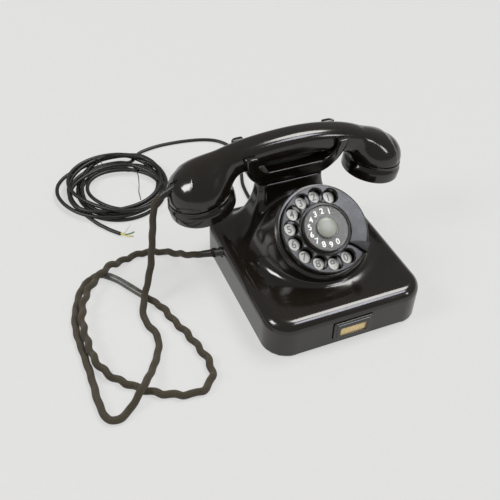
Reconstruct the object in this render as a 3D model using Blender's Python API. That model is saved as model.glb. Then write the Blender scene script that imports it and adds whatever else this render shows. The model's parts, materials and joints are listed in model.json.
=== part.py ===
"""A moulded desk telephone with a rotary dial, a lift-off handset and two cords.

Frame: +X to the right of a person facing the dial, the front faces -Y, +Z up, and the floor is Z = 0.
Sizes are written in millimetres and turned to metres by MM.
"""

import math

import bmesh
import bpy
from mathutils import Matrix, Vector

MM = 0.001
GAP = 0.3

# Housing
BASE_WIDTH = 150.0
BASE_DEPTH = 171.0
DECK_HEIGHT = 38.0
RIM_HEIGHT = 1.6
CORNER_RADIUS = 23.0
EDGE_RADIUS = 10.0
WALL = 3.0

# Dial: its axis leans forward from the vertical
DIAL_TILT = 36.15
DIAL_Y = -23.5
DIAL_Z = 78.9
WHEEL_RADIUS = 39.6
WHEEL_THICKNESS = 3.6
HOLE_RADIUS = 6.5
HOLE_CIRCLE = 30.8
HOLE_COUNT = 10
HOLE_STEP = 360.0 / 14
FIRST_HOLE = -27.8
BEZEL_RADIUS = 42.7
BEZEL_TOP = -5.6
BEZEL_SEAT = -9.0
CUP_RADIUS = 35.2
CUP_DEPTH = 32.0
STOP_ANGLE = -129.0
CARD_RADIUS = 20.0
CARD_RING_WIDTH = 1.6
CARD_HEIGHT = 4.2
HUB_RADIUS = 9.2
SHAFT_RADIUS = 3.0

# Skirt between the dial and the deck
SKIRT_MARGIN = 0.5
SKIRT_HALF_WIDTH = 64.0
SKIRT_FRONT_GROWTH = 15.0
SKIRT_BACK_GROWTH = 8.0

# Neck under the cradle
SADDLE_Y = 54.0
NECK_TOP = 85.0
NECK_HALF_WIDTH = 33.0
NECK_HALF_DEPTH = 10.5
NECK_FLARE_X = 33.0
NECK_FLARE_FRONT = 38.0
NECK_FLARE_BACK = 10.0

# Cradle
CRADLE_TOP = 123.5
CRADLE_HALF_WIDTH = 52.0
CRADLE_FOOT_HALF_WIDTH = 28.0
CRADLE_HALF_DEPTH = 20.0
CRADLE_FOOT_HALF_DEPTH = 9.3
CRADLE_BEAM_HEIGHT = 102.5
HORN_INNER = 38.5
NOTCH_HALF_WIDTH = 26.0
HOOK_TRAVEL = 6.0
STEM_RADIUS = 4.0
STEM_SPACING = 30.0

# Handset
GRIP_HALF_WIDTH = 14.0
GRIP_HALF_HEIGHT = 12.5
MOUTH_X = -85.0
MOUTH_Z = 73.0
MOUTH_LEAN = 12.6
MOUTH_RADIUS = 31.0
EAR_X = 88.0
EAR_Z = 70.5
EAR_LEAN = -10.0
EAR_RADIUS = 28.4
CUP_SEAM = 15.3
CAPSULE_CLEARANCE = 0.4

# Bells
GONG_RADIUS = 24.0
GONG_Y = 41.0
CLAPPER_BALL = 3.5
CLAPPER_SWING = 5.0
BELL_CLEARANCE = 0.6

# Cords
HANDSET_CORD = 6.3
SLEEVE_DIAMETER = 6.6
LINE_CORD = 4.0
COIL_X = -133.0
COIL_Y = 196.0
COIL_INNER = 30.0
COIL_OUTER = 60.0
COIL_HEIGHT = 11.0
END_LENGTH = 3.0


# ---------------------------------------------------------------- helpers

def clear_scene():
    for existing in list(bpy.data.objects):
        bpy.data.objects.remove(existing, do_unlink=True)


def make_material(name, colour, roughness, metallic=0.0):
    material = bpy.data.materials.new(name)
    material.use_nodes = True
    shader = material.node_tree.nodes["Principled BSDF"]
    shader.inputs["Base Color"].default_value = (*colour, 1.0)
    shader.inputs["Roughness"].default_value = roughness
    shader.inputs["Metallic"].default_value = metallic
    material.diffuse_color = (*colour, 1.0)
    return material


def add_mesh(name, shape, material, frame=None):
    """Turn a bmesh in millimetres into an object, placed under the empty that carries its frame."""
    bmesh.ops.remove_doubles(shape, verts=shape.verts, dist=1e-4)
    bmesh.ops.recalc_face_normals(shape, faces=shape.faces)
    bmesh.ops.scale(shape, vec=(MM, MM, MM), verts=shape.verts)
    mesh = bpy.data.meshes.new(name)
    shape.to_mesh(mesh)
    shape.free()
    mesh.shade_smooth()
    mesh.set_sharp_from_angle(angle=math.radians(35))
    mesh.materials.append(material)
    piece = bpy.data.objects.new(name, mesh)
    piece.parent = frame
    bpy.context.collection.objects.link(piece)
    return piece


def add_frame(name, place, rotation=(0.0, 0.0, 0.0)):
    """An empty at a joint's axis; pieces under it are drawn in its own coordinates."""
    frame = bpy.data.objects.new(name, None)
    frame.location = Vector(place) * MM
    frame.rotation_euler = rotation
    bpy.context.collection.objects.link(frame)
    return frame


def turned_shape(profile, segments=32):
    """Spin an outline of (radius, height) points about Z; an open outline starts and ends on the axis."""
    shape = bmesh.new()
    corners = [shape.verts.new((radius, 0.0, height)) for radius, height in profile]
    pairs = list(zip(corners, corners[1:]))
    if profile[0][0] > 0.0:
        pairs.append((corners[-1], corners[0]))
    edges = [shape.edges.new(pair) for pair in pairs]
    bmesh.ops.spin(shape, geom=corners + edges, cent=(0, 0, 0), axis=(0, 0, 1), dvec=(0, 0, 0),
                   angle=math.tau, steps=segments, use_merge=True, use_duplicate=False)
    bmesh.ops.remove_doubles(shape, verts=shape.verts, dist=1e-4)
    return shape


def turned(name, profile, material, frame=None, segments=32, move=None):
    shape = turned_shape(profile, segments)
    if move:
        shape.transform(move)
    return add_mesh(name, shape, material, frame)


def lofted_shape(rings):
    """Join rings of the same number of points into one closed skin with flat ends."""
    shape = bmesh.new()
    loops = [[shape.verts.new(point) for point in ring] for ring in rings]
    count = len(loops[0])
    for lower, upper in zip(loops, loops[1:]):
        for index in range(count):
            after = (index + 1) % count
            shape.faces.new((lower[index], lower[after], upper[after], upper[index]))
    shape.faces.new(list(reversed(loops[0])))
    shape.faces.new(loops[-1])
    return shape


def block(name, low, high, material, frame=None, bevel=0.0):
    size = [upper - lower for lower, upper in zip(low, high)]
    centre = [(upper + lower) / 2 for lower, upper in zip(low, high)]
    shape = bmesh.new()
    bmesh.ops.create_cube(shape, size=1.0)
    bmesh.ops.scale(shape, vec=size, verts=shape.verts)
    bmesh.ops.translate(shape, vec=centre, verts=shape.verts)
    if bevel:
        bmesh.ops.bevel(shape, geom=shape.edges[:], offset=bevel, segments=2, profile=0.5,
                        affect="EDGES")
    return add_mesh(name, shape, material, frame)


def prism_shape(outline, low, high):
    """Raise an outline of (x, y) points from one height to another."""
    return lofted_shape([[(x, y, low) for x, y in outline], [(x, y, high) for x, y in outline]])


def rod(name, start, end, radius, material, frame=None, end_radius=None, segments=16):
    """A round bar, or a taper, between two points."""
    along = Vector(end) - Vector(start)
    turn = along.to_track_quat("Z", "Y").to_matrix().to_4x4()
    tip = radius if end_radius is None else end_radius
    profile = [(0.0, along.length), (tip, along.length), (radius, 0.0), (0.0, 0.0)]
    return turned(name, profile, material, frame, segments, Matrix.Translation(start) @ turn)


def hide_tool(tool):
    tool.hide_render = True
    tool.display_type = "WIRE"


def combine(piece, tools, operation):
    """Keep a Boolean on the piece for each tool, and hide the tools."""
    for tool in tools:
        modifier = piece.modifiers.new(tool.name, "BOOLEAN")
        modifier.operation = operation
        modifier.solver = "EXACT"
        modifier.object = tool
        hide_tool(tool)
    return piece


def rounded_rectangle(half_x, half_y, radius, centre=(0.0, 0.0), steps=6):
    points = []
    for quarter, (sign_x, sign_y) in enumerate(((1, 1), (-1, 1), (-1, -1), (1, -1))):
        for step in range(steps + 1):
            angle = math.radians(90 * quarter + 90 * step / steps)
            points.append((centre[0] + sign_x * (half_x - radius) + radius * math.cos(angle),
                           centre[1] + sign_y * (half_y - radius) + radius * math.sin(angle)))
    return points


def smooth_route(points, spacing):
    """Points at an even spacing along a smooth curve through the route's own points."""
    knots = [Vector(point) for point in points]
    padded = [2 * knots[0] - knots[1], *knots, 2 * knots[-1] - knots[-2]]
    fine = []
    for before, start, end, after in zip(padded, padded[1:], padded[2:], padded[3:]):
        for step in range(12):
            t = step / 12
            fine.append(0.5 * (2 * start + (end - before) * t
                               + (2 * before - 5 * start + 4 * end - after) * t * t
                               + (3 * start - before - 3 * end + after) * t ** 3))
    fine.append(knots[-1])
    travelled = [0.0]
    for start, end in zip(fine, fine[1:]):
        travelled.append(travelled[-1] + (end - start).length)
    count = max(2, round(travelled[-1] / spacing))
    stations = [travelled[-1] * step / count for step in range(count + 1)]
    stations = [0.0, END_LENGTH, *stations[1:-1], travelled[-1] - END_LENGTH, travelled[-1]]
    even = []
    index = 0
    for wanted in stations:
        while index < len(travelled) - 2 and travelled[index + 1] < wanted:
            index += 1
        share = (wanted - travelled[index]) / (travelled[index + 1] - travelled[index])
        even.append(fine[index].lerp(fine[index + 1], min(share, 1.0)))
    return even


def cord(name, route, diameter, material, spacing):
    points = smooth_route(route, spacing)
    curve = bpy.data.curves.new(name, "CURVE")
    curve.dimensions = "3D"
    curve.bevel_depth = diameter / 2 * MM
    curve.bevel_resolution = 2
    curve.render_resolution_u = 0
    curve.use_fill_caps = True
    line = curve.splines.new("POLY")
    line.points.add(len(points) - 1)
    for place, point in zip(line.points, points):
        place.co = (*(point * MM), 1.0)
    curve.materials.append(material)
    piece = bpy.data.objects.new(name, curve)
    bpy.context.collection.objects.link(piece)
    return piece


# ---------------------------------------------------------------- housing

def flare(share):
    """A quarter ellipse: no growth at the top, and level with the deck at the foot."""
    return 1.0 - math.sqrt(max(0.0, 1.0 - share * share))


def slab_rings(inset, top, bottom):
    """The box with round corners and a round top edge, drawn inset from the outside."""
    radius = max(EDGE_RADIUS - inset, 1.0)
    half_x = BASE_WIDTH / 2 - inset
    half_y = BASE_DEPTH / 2 - inset
    corner = CORNER_RADIUS - inset
    rings = [(0.0, bottom), (0.0, top - radius)]
    for step in range(1, 5):
        angle = math.radians(90 * step / 4)
        rings.append((radius * (1 - math.cos(angle)), top - radius + radius * math.sin(angle)))
    return [[(x, y, height) for x, y in rounded_rectangle(half_x - cut, half_y - cut, corner - cut)]
            for cut, height in rings]


def skirt_rings(inset, foot, steps=6, points=40):
    """The skirt under the dial: from a round seat in the dial's plane down to the deck."""
    tilt = math.radians(DIAL_TILT)
    normal = Vector((0.0, -math.sin(tilt), math.cos(tilt)))
    across = Vector((1.0, 0.0, 0.0))
    upward = Vector((0.0, math.cos(tilt), math.sin(tilt)))
    seat = Vector((0.0, DIAL_Y, DIAL_Z)) + normal * (BEZEL_SEAT - inset)
    radius = BEZEL_RADIUS + SKIRT_MARGIN - inset
    rings = []
    for step in range(steps + 1):
        share = math.sin(math.radians(90 * step / steps))
        ring = []
        for index in range(points):
            angle = math.tau * index / points
            rim = seat + radius * (across * math.cos(angle) + upward * math.sin(angle))
            drop = (rim.z - foot) / normal.z
            side = SKIRT_HALF_WIDTH - BEZEL_RADIUS
            depth = SKIRT_BACK_GROWTH if math.sin(angle) > 0 else SKIRT_FRONT_GROWTH
            grown = Vector((side * math.cos(angle), depth * math.sin(angle), 0.0))
            ring.append(rim - normal * drop * share + grown * flare(share))
        rings.append(ring)
    rings.append([(x, y, foot - WALL) for x, y, z in rings[-1]])
    return list(reversed(rings))


def neck_rings(inset, top, foot, steps=6):
    """The neck under the cradle, which flares into the deck."""
    rings = []
    for step in range(steps + 1):
        share = math.sin(math.radians(90 * step / steps))
        height = top - (top - foot) * share
        growth = flare(share)
        half_x = NECK_HALF_WIDTH - inset + NECK_FLARE_X * growth
        front = SADDLE_Y - NECK_HALF_DEPTH + inset - NECK_FLARE_FRONT * growth
        back = SADDLE_Y + NECK_HALF_DEPTH - inset + NECK_FLARE_BACK * growth
        outline = rounded_rectangle(half_x, (back - front) / 2, 7.0 - inset / 2 + 8.0 * growth,
                                    (0.0, (back + front) / 2), steps=4)
        rings.append([(x, y, height) for x, y in outline])
    rings.append([(x, y, foot - WALL) for x, y, z in rings[-1]])
    return list(reversed(rings))


def make_housing(material, dial_frame):
    """One moulding: a box, a skirt for the dial and a neck for the cradle, all hollow from below."""
    shell = add_mesh("housing_shell", lofted_shape(slab_rings(0.0, DECK_HEIGHT, RIM_HEIGHT)), material)
    skirt = add_mesh("skirt_form", lofted_shape(skirt_rings(0.0, DECK_HEIGHT - 0.1)), material)
    neck = add_mesh("neck_form", lofted_shape(neck_rings(0.0, NECK_TOP, DECK_HEIGHT - 0.1)), material)
    combine(shell, [skirt, neck], "UNION")
    inner_deck = DECK_HEIGHT - WALL
    hollow = add_mesh("slab_hollow", lofted_shape(slab_rings(WALL, inner_deck, -WALL)), material)
    skirt_hollow = add_mesh("skirt_hollow", lofted_shape(skirt_rings(WALL, inner_deck - 0.1)), material)
    neck_hollow = add_mesh("neck_hollow",
                           lofted_shape(neck_rings(WALL, NECK_TOP - WALL, inner_deck - 0.1)), material)
    dial_hole = turned("dial_hole", [(0.0, 5.0), (CUP_RADIUS + 0.8, 5.0),
                                     (CUP_RADIUS + 0.8, -24.0), (0.0, -24.0)],
                       material, dial_frame, 40)
    tools = [hollow, skirt_hollow, neck_hollow, dial_hole]
    for side in (-1, 1):
        x = side * STEM_SPACING / 2
        tools.append(rod(f"stem_hole_{side}", (x, SADDLE_Y, NECK_TOP - 8.0), (x, SADDLE_Y, NECK_TOP + 4.0),
                         STEM_RADIUS + 0.6, material))
    tools.append(rod("handset_cord_hole", HANDSET_GLAND_IN, HANDSET_GLAND_OUT, HANDSET_GLAND_RADIUS + GAP + 0.1,
                     material))
    tools.append(rod("line_cord_hole", LINE_GLAND_IN, LINE_GLAND_OUT, LINE_GLAND_RADIUS + GAP + 0.1, material))
    combine(shell, tools, "DIFFERENCE")
    for index, (x, y) in enumerate(SCREW_PLACES):
        boss = rod(f"boss_{index}", (x, y, PLATE_TOP + GAP), (x, y, inner_deck + 1.0), BOSS_RADIUS, material)
        combine(shell, [boss], "UNION")
        bore = rod(f"boss_bore_{index}", (x, y, -1.0), (x, y, SCREW_LENGTH + 3.0), SCREW_RADIUS + GAP + 0.1,
                   material)
        combine(shell, [bore], "DIFFERENCE")
    return shell


PLATE_THICKNESS = 1.4
PLATE_TOP = RIM_HEIGHT + 0.4 + PLATE_THICKNESS
PLATE_INSET = WALL + 0.5
FOOT_RADIUS = 8.0
FOOT_HEIGHT = 1.7
BOSS_RADIUS = 5.0
SCREW_RADIUS = 1.8
SCREW_LENGTH = 14.0
SCREW_PLACES = [(-BASE_WIDTH / 2 + 13.0, -8.0), (BASE_WIDTH / 2 - 13.0, -8.0)]
FOOT_PLACES = [(side_x * (BASE_WIDTH / 2 - 20.0), side_y * (BASE_DEPTH / 2 - 20.0))
               for side_x in (-1, 1) for side_y in (-1, 1)]
HANDSET_GLAND_RADIUS = 4.3
HANDSET_GLAND_IN = (-BASE_WIDTH / 2 + 5.0, 33.0, 28.0)
HANDSET_GLAND_OUT = (-BASE_WIDTH / 2 - 14.5, 46.5, 19.5)
LINE_GLAND_RADIUS = 3.6
LINE_GLAND_IN = (-8.0, BASE_DEPTH / 2 - 5.0, 15.0)
LINE_GLAND_OUT = (-8.0, BASE_DEPTH / 2 + 18.0, 12.5)


def make_floor_pieces(steel, rubber):
    outline = rounded_rectangle(BASE_WIDTH / 2 - PLATE_INSET, BASE_DEPTH / 2 - PLATE_INSET,
                                CORNER_RADIUS - PLATE_INSET)
    plate = add_mesh("base_plate", prism_shape(outline, RIM_HEIGHT + 0.4, PLATE_TOP), steel)
    bores = []
    for index, (x, y) in enumerate(SCREW_PLACES):
        bores.append(rod(f"plate_bore_{index}", (x, y, -1.0), (x, y, 6.0), SCREW_RADIUS + GAP + 0.1, steel))
        head = RIM_HEIGHT + 0.4 - GAP
        profile = [(0.0, SCREW_LENGTH), (SCREW_RADIUS, SCREW_LENGTH), (SCREW_RADIUS, head),
                   (3.6, head), (3.6, head - 1.4), (0.0, head - 1.4)]
        turned(f"case_screw_{index + 1}", profile, steel, None, 16, Matrix.Translation((x, y, 0.0)))
    combine(plate, bores, "DIFFERENCE")
    for index, (x, y) in enumerate(FOOT_PLACES):
        profile = [(0.0, FOOT_HEIGHT), (FOOT_RADIUS, FOOT_HEIGHT), (FOOT_RADIUS, 0.5),
                   (FOOT_RADIUS - 0.5, 0.0), (0.0, 0.0)]
        turned(f"foot_{index + 1}", profile, rubber, None, 20, Matrix.Translation((x, y, 0.0)))


LABEL_X = 1.0
LABEL_WIDTH = 38.0
LABEL_LOW = 7.2
LABEL_HIGH = 27.2
LABEL_PROUD = 2.2
CARD_WIDTH = 25.4
CARD_LOW = 10.8
CARD_HIGH = 20.4


def make_label(plastic, paper, clear):
    """A raised frame on the front wall, which holds a number card behind a clear slip."""
    wall = -BASE_DEPTH / 2
    back = wall - GAP
    front = wall - LABEL_PROUD
    half = LABEL_WIDTH / 2
    frame = block("label_frame", (LABEL_X - half, front, LABEL_LOW), (LABEL_X + half, back, LABEL_HIGH),
                  plastic, bevel=0.5)
    half_card = CARD_WIDTH / 2
    opening = block("label_opening", (LABEL_X - half_card, front - 1, CARD_LOW),
                    (LABEL_X + half_card, back + 1, CARD_HIGH), plastic)
    margin = 1.6
    pocket = block("label_pocket", (LABEL_X - half_card - margin, front + 0.7, CARD_LOW - margin),
                   (LABEL_X + half_card + margin, back + 1, CARD_HIGH + margin), plastic)
    combine(frame, [opening, pocket], "DIFFERENCE")
    edge = margin - GAP
    block("label_card", (LABEL_X - half_card - edge, back - 0.3, CARD_LOW - edge),
          (LABEL_X + half_card + edge, back, CARD_HIGH + edge), paper)
    block("label_window", (LABEL_X - half_card - edge, front + 1.0, CARD_LOW - edge),
          (LABEL_X + half_card + edge, back - 0.6, CARD_HIGH + edge), clear)


# ---------------------------------------------------------------- dial

def on_dial(radius, angle, height=0.0):
    """A point in the dial's own frame; the angle runs from the top, anticlockwise seen from the front."""
    turn = math.radians(angle)
    return (-radius * math.sin(turn), radius * math.cos(turn), height)


def gear_shape(teeth, tip, root, bore, low, high):
    """A spur gear with square-cut teeth and a round bore."""
    outline = []
    for tooth in range(teeth):
        for share, radius in ((0.0, root), (0.2, root), (0.35, tip), (0.65, tip), (0.8, root)):
            angle = math.tau * (tooth + share) / teeth
            outline.append((radius * math.cos(angle), radius * math.sin(angle)))
    inner = [(bore * math.cos(math.atan2(y, x)), bore * math.sin(math.atan2(y, x))) for x, y in outline]
    shape = bmesh.new()
    loops = [[shape.verts.new((x, y, height)) for x, y in points]
             for points, height in ((outline, low), (outline, high), (inner, high), (inner, low))]
    count = len(outline)
    for first, second in zip(loops, loops[1:] + loops[:1]):
        for index in range(count):
            after = (index + 1) % count
            shape.faces.new((first[index], first[after], second[after], second[index]))
    return shape


MAIN_GEAR_TEETH = 28
PINION_TEETH = 10
GEAR_MODULE = 0.9
PINION_DISTANCE = (MAIN_GEAR_TEETH + PINION_TEETH) * GEAR_MODULE / 2 + 2.1
PINION_ANGLE = 62.0
GOVERNOR_X = -17.0
FLOOR_TOP = -CUP_DEPTH + 1.5


def make_dial(colours, dial_frame):
    black, steel, brass = colours["black"], colours["steel"], colours["brass"]
    ledge = BEZEL_TOP - 1.8
    ring_edge = CUP_RADIUS + 1.2
    turned("dial_case", [
        (BEZEL_RADIUS - 0.8, BEZEL_TOP), (BEZEL_RADIUS, BEZEL_TOP - 0.9),
        (BEZEL_RADIUS, BEZEL_SEAT + GAP), (CUP_RADIUS, BEZEL_SEAT + GAP), (CUP_RADIUS, -CUP_DEPTH),
        (SHAFT_RADIUS + 1.4, -CUP_DEPTH), (SHAFT_RADIUS + 1.4, FLOOR_TOP), (CUP_RADIUS - 1.5, FLOOR_TOP),
        (CUP_RADIUS - 1.5, ledge), (ring_edge, ledge), (ring_edge, BEZEL_TOP)],
        black, dial_frame, 44)
    turned("number_ring", [
        (ring_edge - GAP, ledge + GAP), (ring_edge - GAP, ledge + 1.5), (22.0, ledge + 1.5),
        (22.0, ledge + GAP)], colours["enamel"], dial_frame, 44)
    shaft_hole = SHAFT_RADIUS + GAP
    turned("bearing_bush", [
        (SHAFT_RADIUS + 1.1, FLOOR_TOP + GAP + 2.2), (SHAFT_RADIUS + 1.1, -CUP_DEPTH), (shaft_hole, -CUP_DEPTH),
        (shaft_hole, FLOOR_TOP + GAP + 2.2)], brass, dial_frame, 20)
    wheel = turned("finger_wheel", [
        (WHEEL_RADIUS - 1.2, 0.0), (WHEEL_RADIUS - 0.3, -0.5), (WHEEL_RADIUS, -1.4),
        (WHEEL_RADIUS, -WHEEL_THICKNESS), (shaft_hole, -WHEEL_THICKNESS), (shaft_hole, 0.0)],
        black, dial_frame, 56)
    holes = []
    for index in range(HOLE_COUNT):
        place = on_dial(HOLE_CIRCLE, FIRST_HOLE + HOLE_STEP * index)
        holes.append(turned(f"finger_hole_{index}", [
            (0.0, 1.0), (HOLE_RADIUS + 0.9, 1.0), (HOLE_RADIUS + 0.9, 0.0), (HOLE_RADIUS, -0.9),
            (HOLE_RADIUS, -WHEEL_THICKNESS - 1), (0.0, -WHEEL_THICKNESS - 1)],
            black, dial_frame, 18, Matrix.Translation(place)))
    combine(wheel, holes, "DIFFERENCE")
    ring_outer = CARD_RADIUS + CARD_RING_WIDTH
    turned("card_ring", [
        (ring_outer - 0.5, CARD_HEIGHT), (ring_outer, CARD_HEIGHT - 0.6), (ring_outer, GAP),
        (CARD_RADIUS + GAP, GAP), (CARD_RADIUS + GAP, CARD_HEIGHT)], brass, dial_frame, 44)
    hub_hole = HUB_RADIUS - 2.0 + GAP
    turned("dial_card", [(CARD_RADIUS, 2.4), (CARD_RADIUS, GAP), (hub_hole, GAP), (hub_hole, 2.4)],
           colours["card"], dial_frame, 44)
    turned("card_window", [(CARD_RADIUS, 3.9), (CARD_RADIUS, 2.7), (hub_hole, 2.7), (hub_hole, 3.9)],
           colours["clear"], dial_frame, 44)
    stem = HUB_RADIUS - 2.0
    turned("dial_hub", [
        (0.0, 6.2), (HUB_RADIUS - 1.0, 5.8), (HUB_RADIUS, 4.9), (HUB_RADIUS, 3.9 + GAP),
        (stem, 3.9 + GAP), (stem, GAP), (0.0, GAP)], colours["grey"], dial_frame, 24)
    turned("dial_shaft", [(0.0, 0.0), (SHAFT_RADIUS, 0.0), (SHAFT_RADIUS, -CUP_DEPTH - 3.0),
                          (0.0, -CUP_DEPTH - 3.0)], steel, dial_frame, 20)
    main_tip = (MAIN_GEAR_TEETH + 2) * GEAR_MODULE / 2
    main_root = (MAIN_GEAR_TEETH - 2.4) * GEAR_MODULE / 2
    add_mesh("main_gear", gear_shape(MAIN_GEAR_TEETH, main_tip, main_root, shaft_hole, -13.4, -11.6),
             brass, dial_frame)
    turned("return_spring", [(11.0, -15.0), (11.0, -20.0), (5.0, -20.0), (5.0, -15.0)], steel, dial_frame, 28)
    make_gear_train(colours, dial_frame)
    make_finger_stop(steel, dial_frame)


def make_gear_train(colours, dial_frame):
    """The pinion with its pulse cam, the governor that it drives, and the contacts that the cam opens."""
    steel, brass = colours["steel"], colours["brass"]
    axis_x, axis_y, _ = on_dial(PINION_DISTANCE, PINION_ANGLE)
    place = Matrix.Translation((axis_x, axis_y, 0.0))
    pinion_tip = (PINION_TEETH + 1.6) * GEAR_MODULE / 2
    pinion_root = (PINION_TEETH - 2.4) * GEAR_MODULE / 2
    pinion = gear_shape(PINION_TEETH, pinion_tip, pinion_root, 1.6, -13.4, -11.6)
    pinion.transform(place)
    add_mesh("pinion_gear", pinion, brass, dial_frame)
    turned("pinion_arbor", [(0.0, -10.4), (1.3, -10.4), (1.3, FLOOR_TOP + 1.0), (0.0, FLOOR_TOP + 1.0)],
           steel, dial_frame, 12, place)
    cam = [((3.4 if quarter % 2 else 5.0) * math.cos(math.tau * quarter / 16),
            (3.4 if quarter % 2 else 5.0) * math.sin(math.tau * quarter / 16)) for quarter in range(16)]
    inner = [(1.6 * math.cos(math.tau * quarter / 16), 1.6 * math.sin(math.tau * quarter / 16))
             for quarter in range(16)]
    shape = bmesh.new()
    loops = [[shape.verts.new((x, y, height)) for x, y in points]
             for points, height in ((cam, -19.5), (cam, -17.5), (inner, -17.5), (inner, -19.5))]
    for first, second in zip(loops, loops[1:] + loops[:1]):
        for index in range(16):
            after = (index + 1) % 16
            shape.faces.new((first[index], first[after], second[after], second[index]))
    shape.transform(place)
    add_mesh("pulse_cam", shape, colours["bakelite"], dial_frame)
    along = Matrix.Rotation(math.radians(-90), 4, "X")
    governor_place = Matrix.Translation((axis_x + 8.2, 0.0, -25.0)) @ along
    turned("governor_worm", [
        (0.0, 14.0), (1.2, 14.0), (1.2, 5.0), (2.2, 5.0), (2.2, -5.0), (1.2, -5.0), (1.2, -14.0), (0.0, -14.0)],
        steel, dial_frame, 16, governor_place @ Matrix.Translation((0.0, 0.0, axis_y * 0.0)))
    turned("governor_weights", [
        (4.2, -7.0), (4.2, -11.0), (1.5, -11.0), (1.5, -7.0)], brass, dial_frame, 16, governor_place)
    block("pulse_contacts", (axis_x - 3.0, axis_y + 5.6, -21.0), (axis_x + 9.0, axis_y + 9.0, -14.0),
          colours["bakelite"], dial_frame, 0.4)


def make_finger_stop(steel, dial_frame):
    """A claw that stands on the bezel, reaches over the wheel's rim and ends beside the card."""
    low, high = 0.9, 2.6
    claw = [on_dial(radius, STOP_ANGLE + angle)[:2] for radius, angle in (
        (42.2, -6.0), (42.2, 6.5), (36.0, 5.6), (30.0, 3.4), (25.0, -1.0), (23.2, -4.5), (26.5, -6.6),
        (31.0, -5.0), (36.0, -4.4))]
    stop = add_mesh("finger_stop", prism_shape(claw, low, high), steel, dial_frame)
    foot = [on_dial(radius, STOP_ANGLE + angle)[:2] for radius, angle in (
        (40.3, -5.0), (42.1, -5.0), (42.1, 5.5), (40.3, 5.5))]
    post = add_mesh("finger_stop_post", prism_shape(foot, BEZEL_TOP - 0.9 + GAP + 0.6, low + 0.4), steel,
                    dial_frame)
    combine(stop, [post], "UNION")


# ---------------------------------------------------------------- cradle and hook switch

def make_cradle(black, steel, frame):
    """A trough that opens upward into four horns, and two stems that run down into the neck."""
    foot = NECK_TOP + GAP
    rings = []
    for step in range(8):
        share = (step / 7) ** 1.5
        height = foot + (CRADLE_TOP - foot) * share
        spread = math.sqrt(1 - (1 - share) ** 1.5)
        half_x = CRADLE_FOOT_HALF_WIDTH + (CRADLE_HALF_WIDTH - CRADLE_FOOT_HALF_WIDTH) * spread
        half_y = CRADLE_FOOT_HALF_DEPTH + (CRADLE_HALF_DEPTH - CRADLE_FOOT_HALF_DEPTH) * share ** 0.8
        outline = rounded_rectangle(half_x, half_y, 5.0, (0.0, SADDLE_Y), steps=3)
        rings.append([(x, y, height) for x, y in outline])
    cradle = add_mesh("cradle", lofted_shape(rings), black, frame)
    notch = [(-NOTCH_HALF_WIDTH, CRADLE_BEAM_HEIGHT), (NOTCH_HALF_WIDTH, CRADLE_BEAM_HEIGHT),
             (HORN_INNER - 3.5, CRADLE_BEAM_HEIGHT + 11), (HORN_INNER, CRADLE_TOP + 2),
             (-HORN_INNER, CRADLE_TOP + 2), (-HORN_INNER + 3.5, CRADLE_BEAM_HEIGHT + 11)]
    gap_form = lofted_shape([[(x, SADDLE_Y + side * 40.0, z) for x, z in notch] for side in (-1, 1)])
    trough = grip_rings(GAP + 0.1)
    low_trough = [[(x, y, z + (30.0 if z > centre else 0.0)) for x, y, z in ring]
                  for centre, ring in ((sum(p[2] for p in ring) / len(ring), ring) for ring in trough)]
    tools = [add_mesh("cradle_notch", gap_form, black, frame),
             add_mesh("cradle_trough", lofted_shape(low_trough), black, frame)]
    combine(cradle, tools, "DIFFERENCE")
    for index, side in enumerate((-1, 1)):
        x = side * STEM_SPACING / 2
        length = STEM_BOTTOM if side < 0 else STEM_BOTTOM + 22.0
        stem = rod(f"stem_form_{index}", (x, SADDLE_Y, length), (x, SADDLE_Y, foot + 4.0), STEM_RADIUS, steel,
                   frame, segments=16)
        combine(cradle, [stem], "UNION")
    return cradle


STEM_BOTTOM = 50.0
LEVER_PIVOT_X = 5.7
LEVER_Y = 58.0
BRACKET_HALF = 2.7
LEVER_PIVOT_Z = 44.0
LEVER_TIP_X = -16.0
PIN_RADIUS = 1.2


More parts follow.
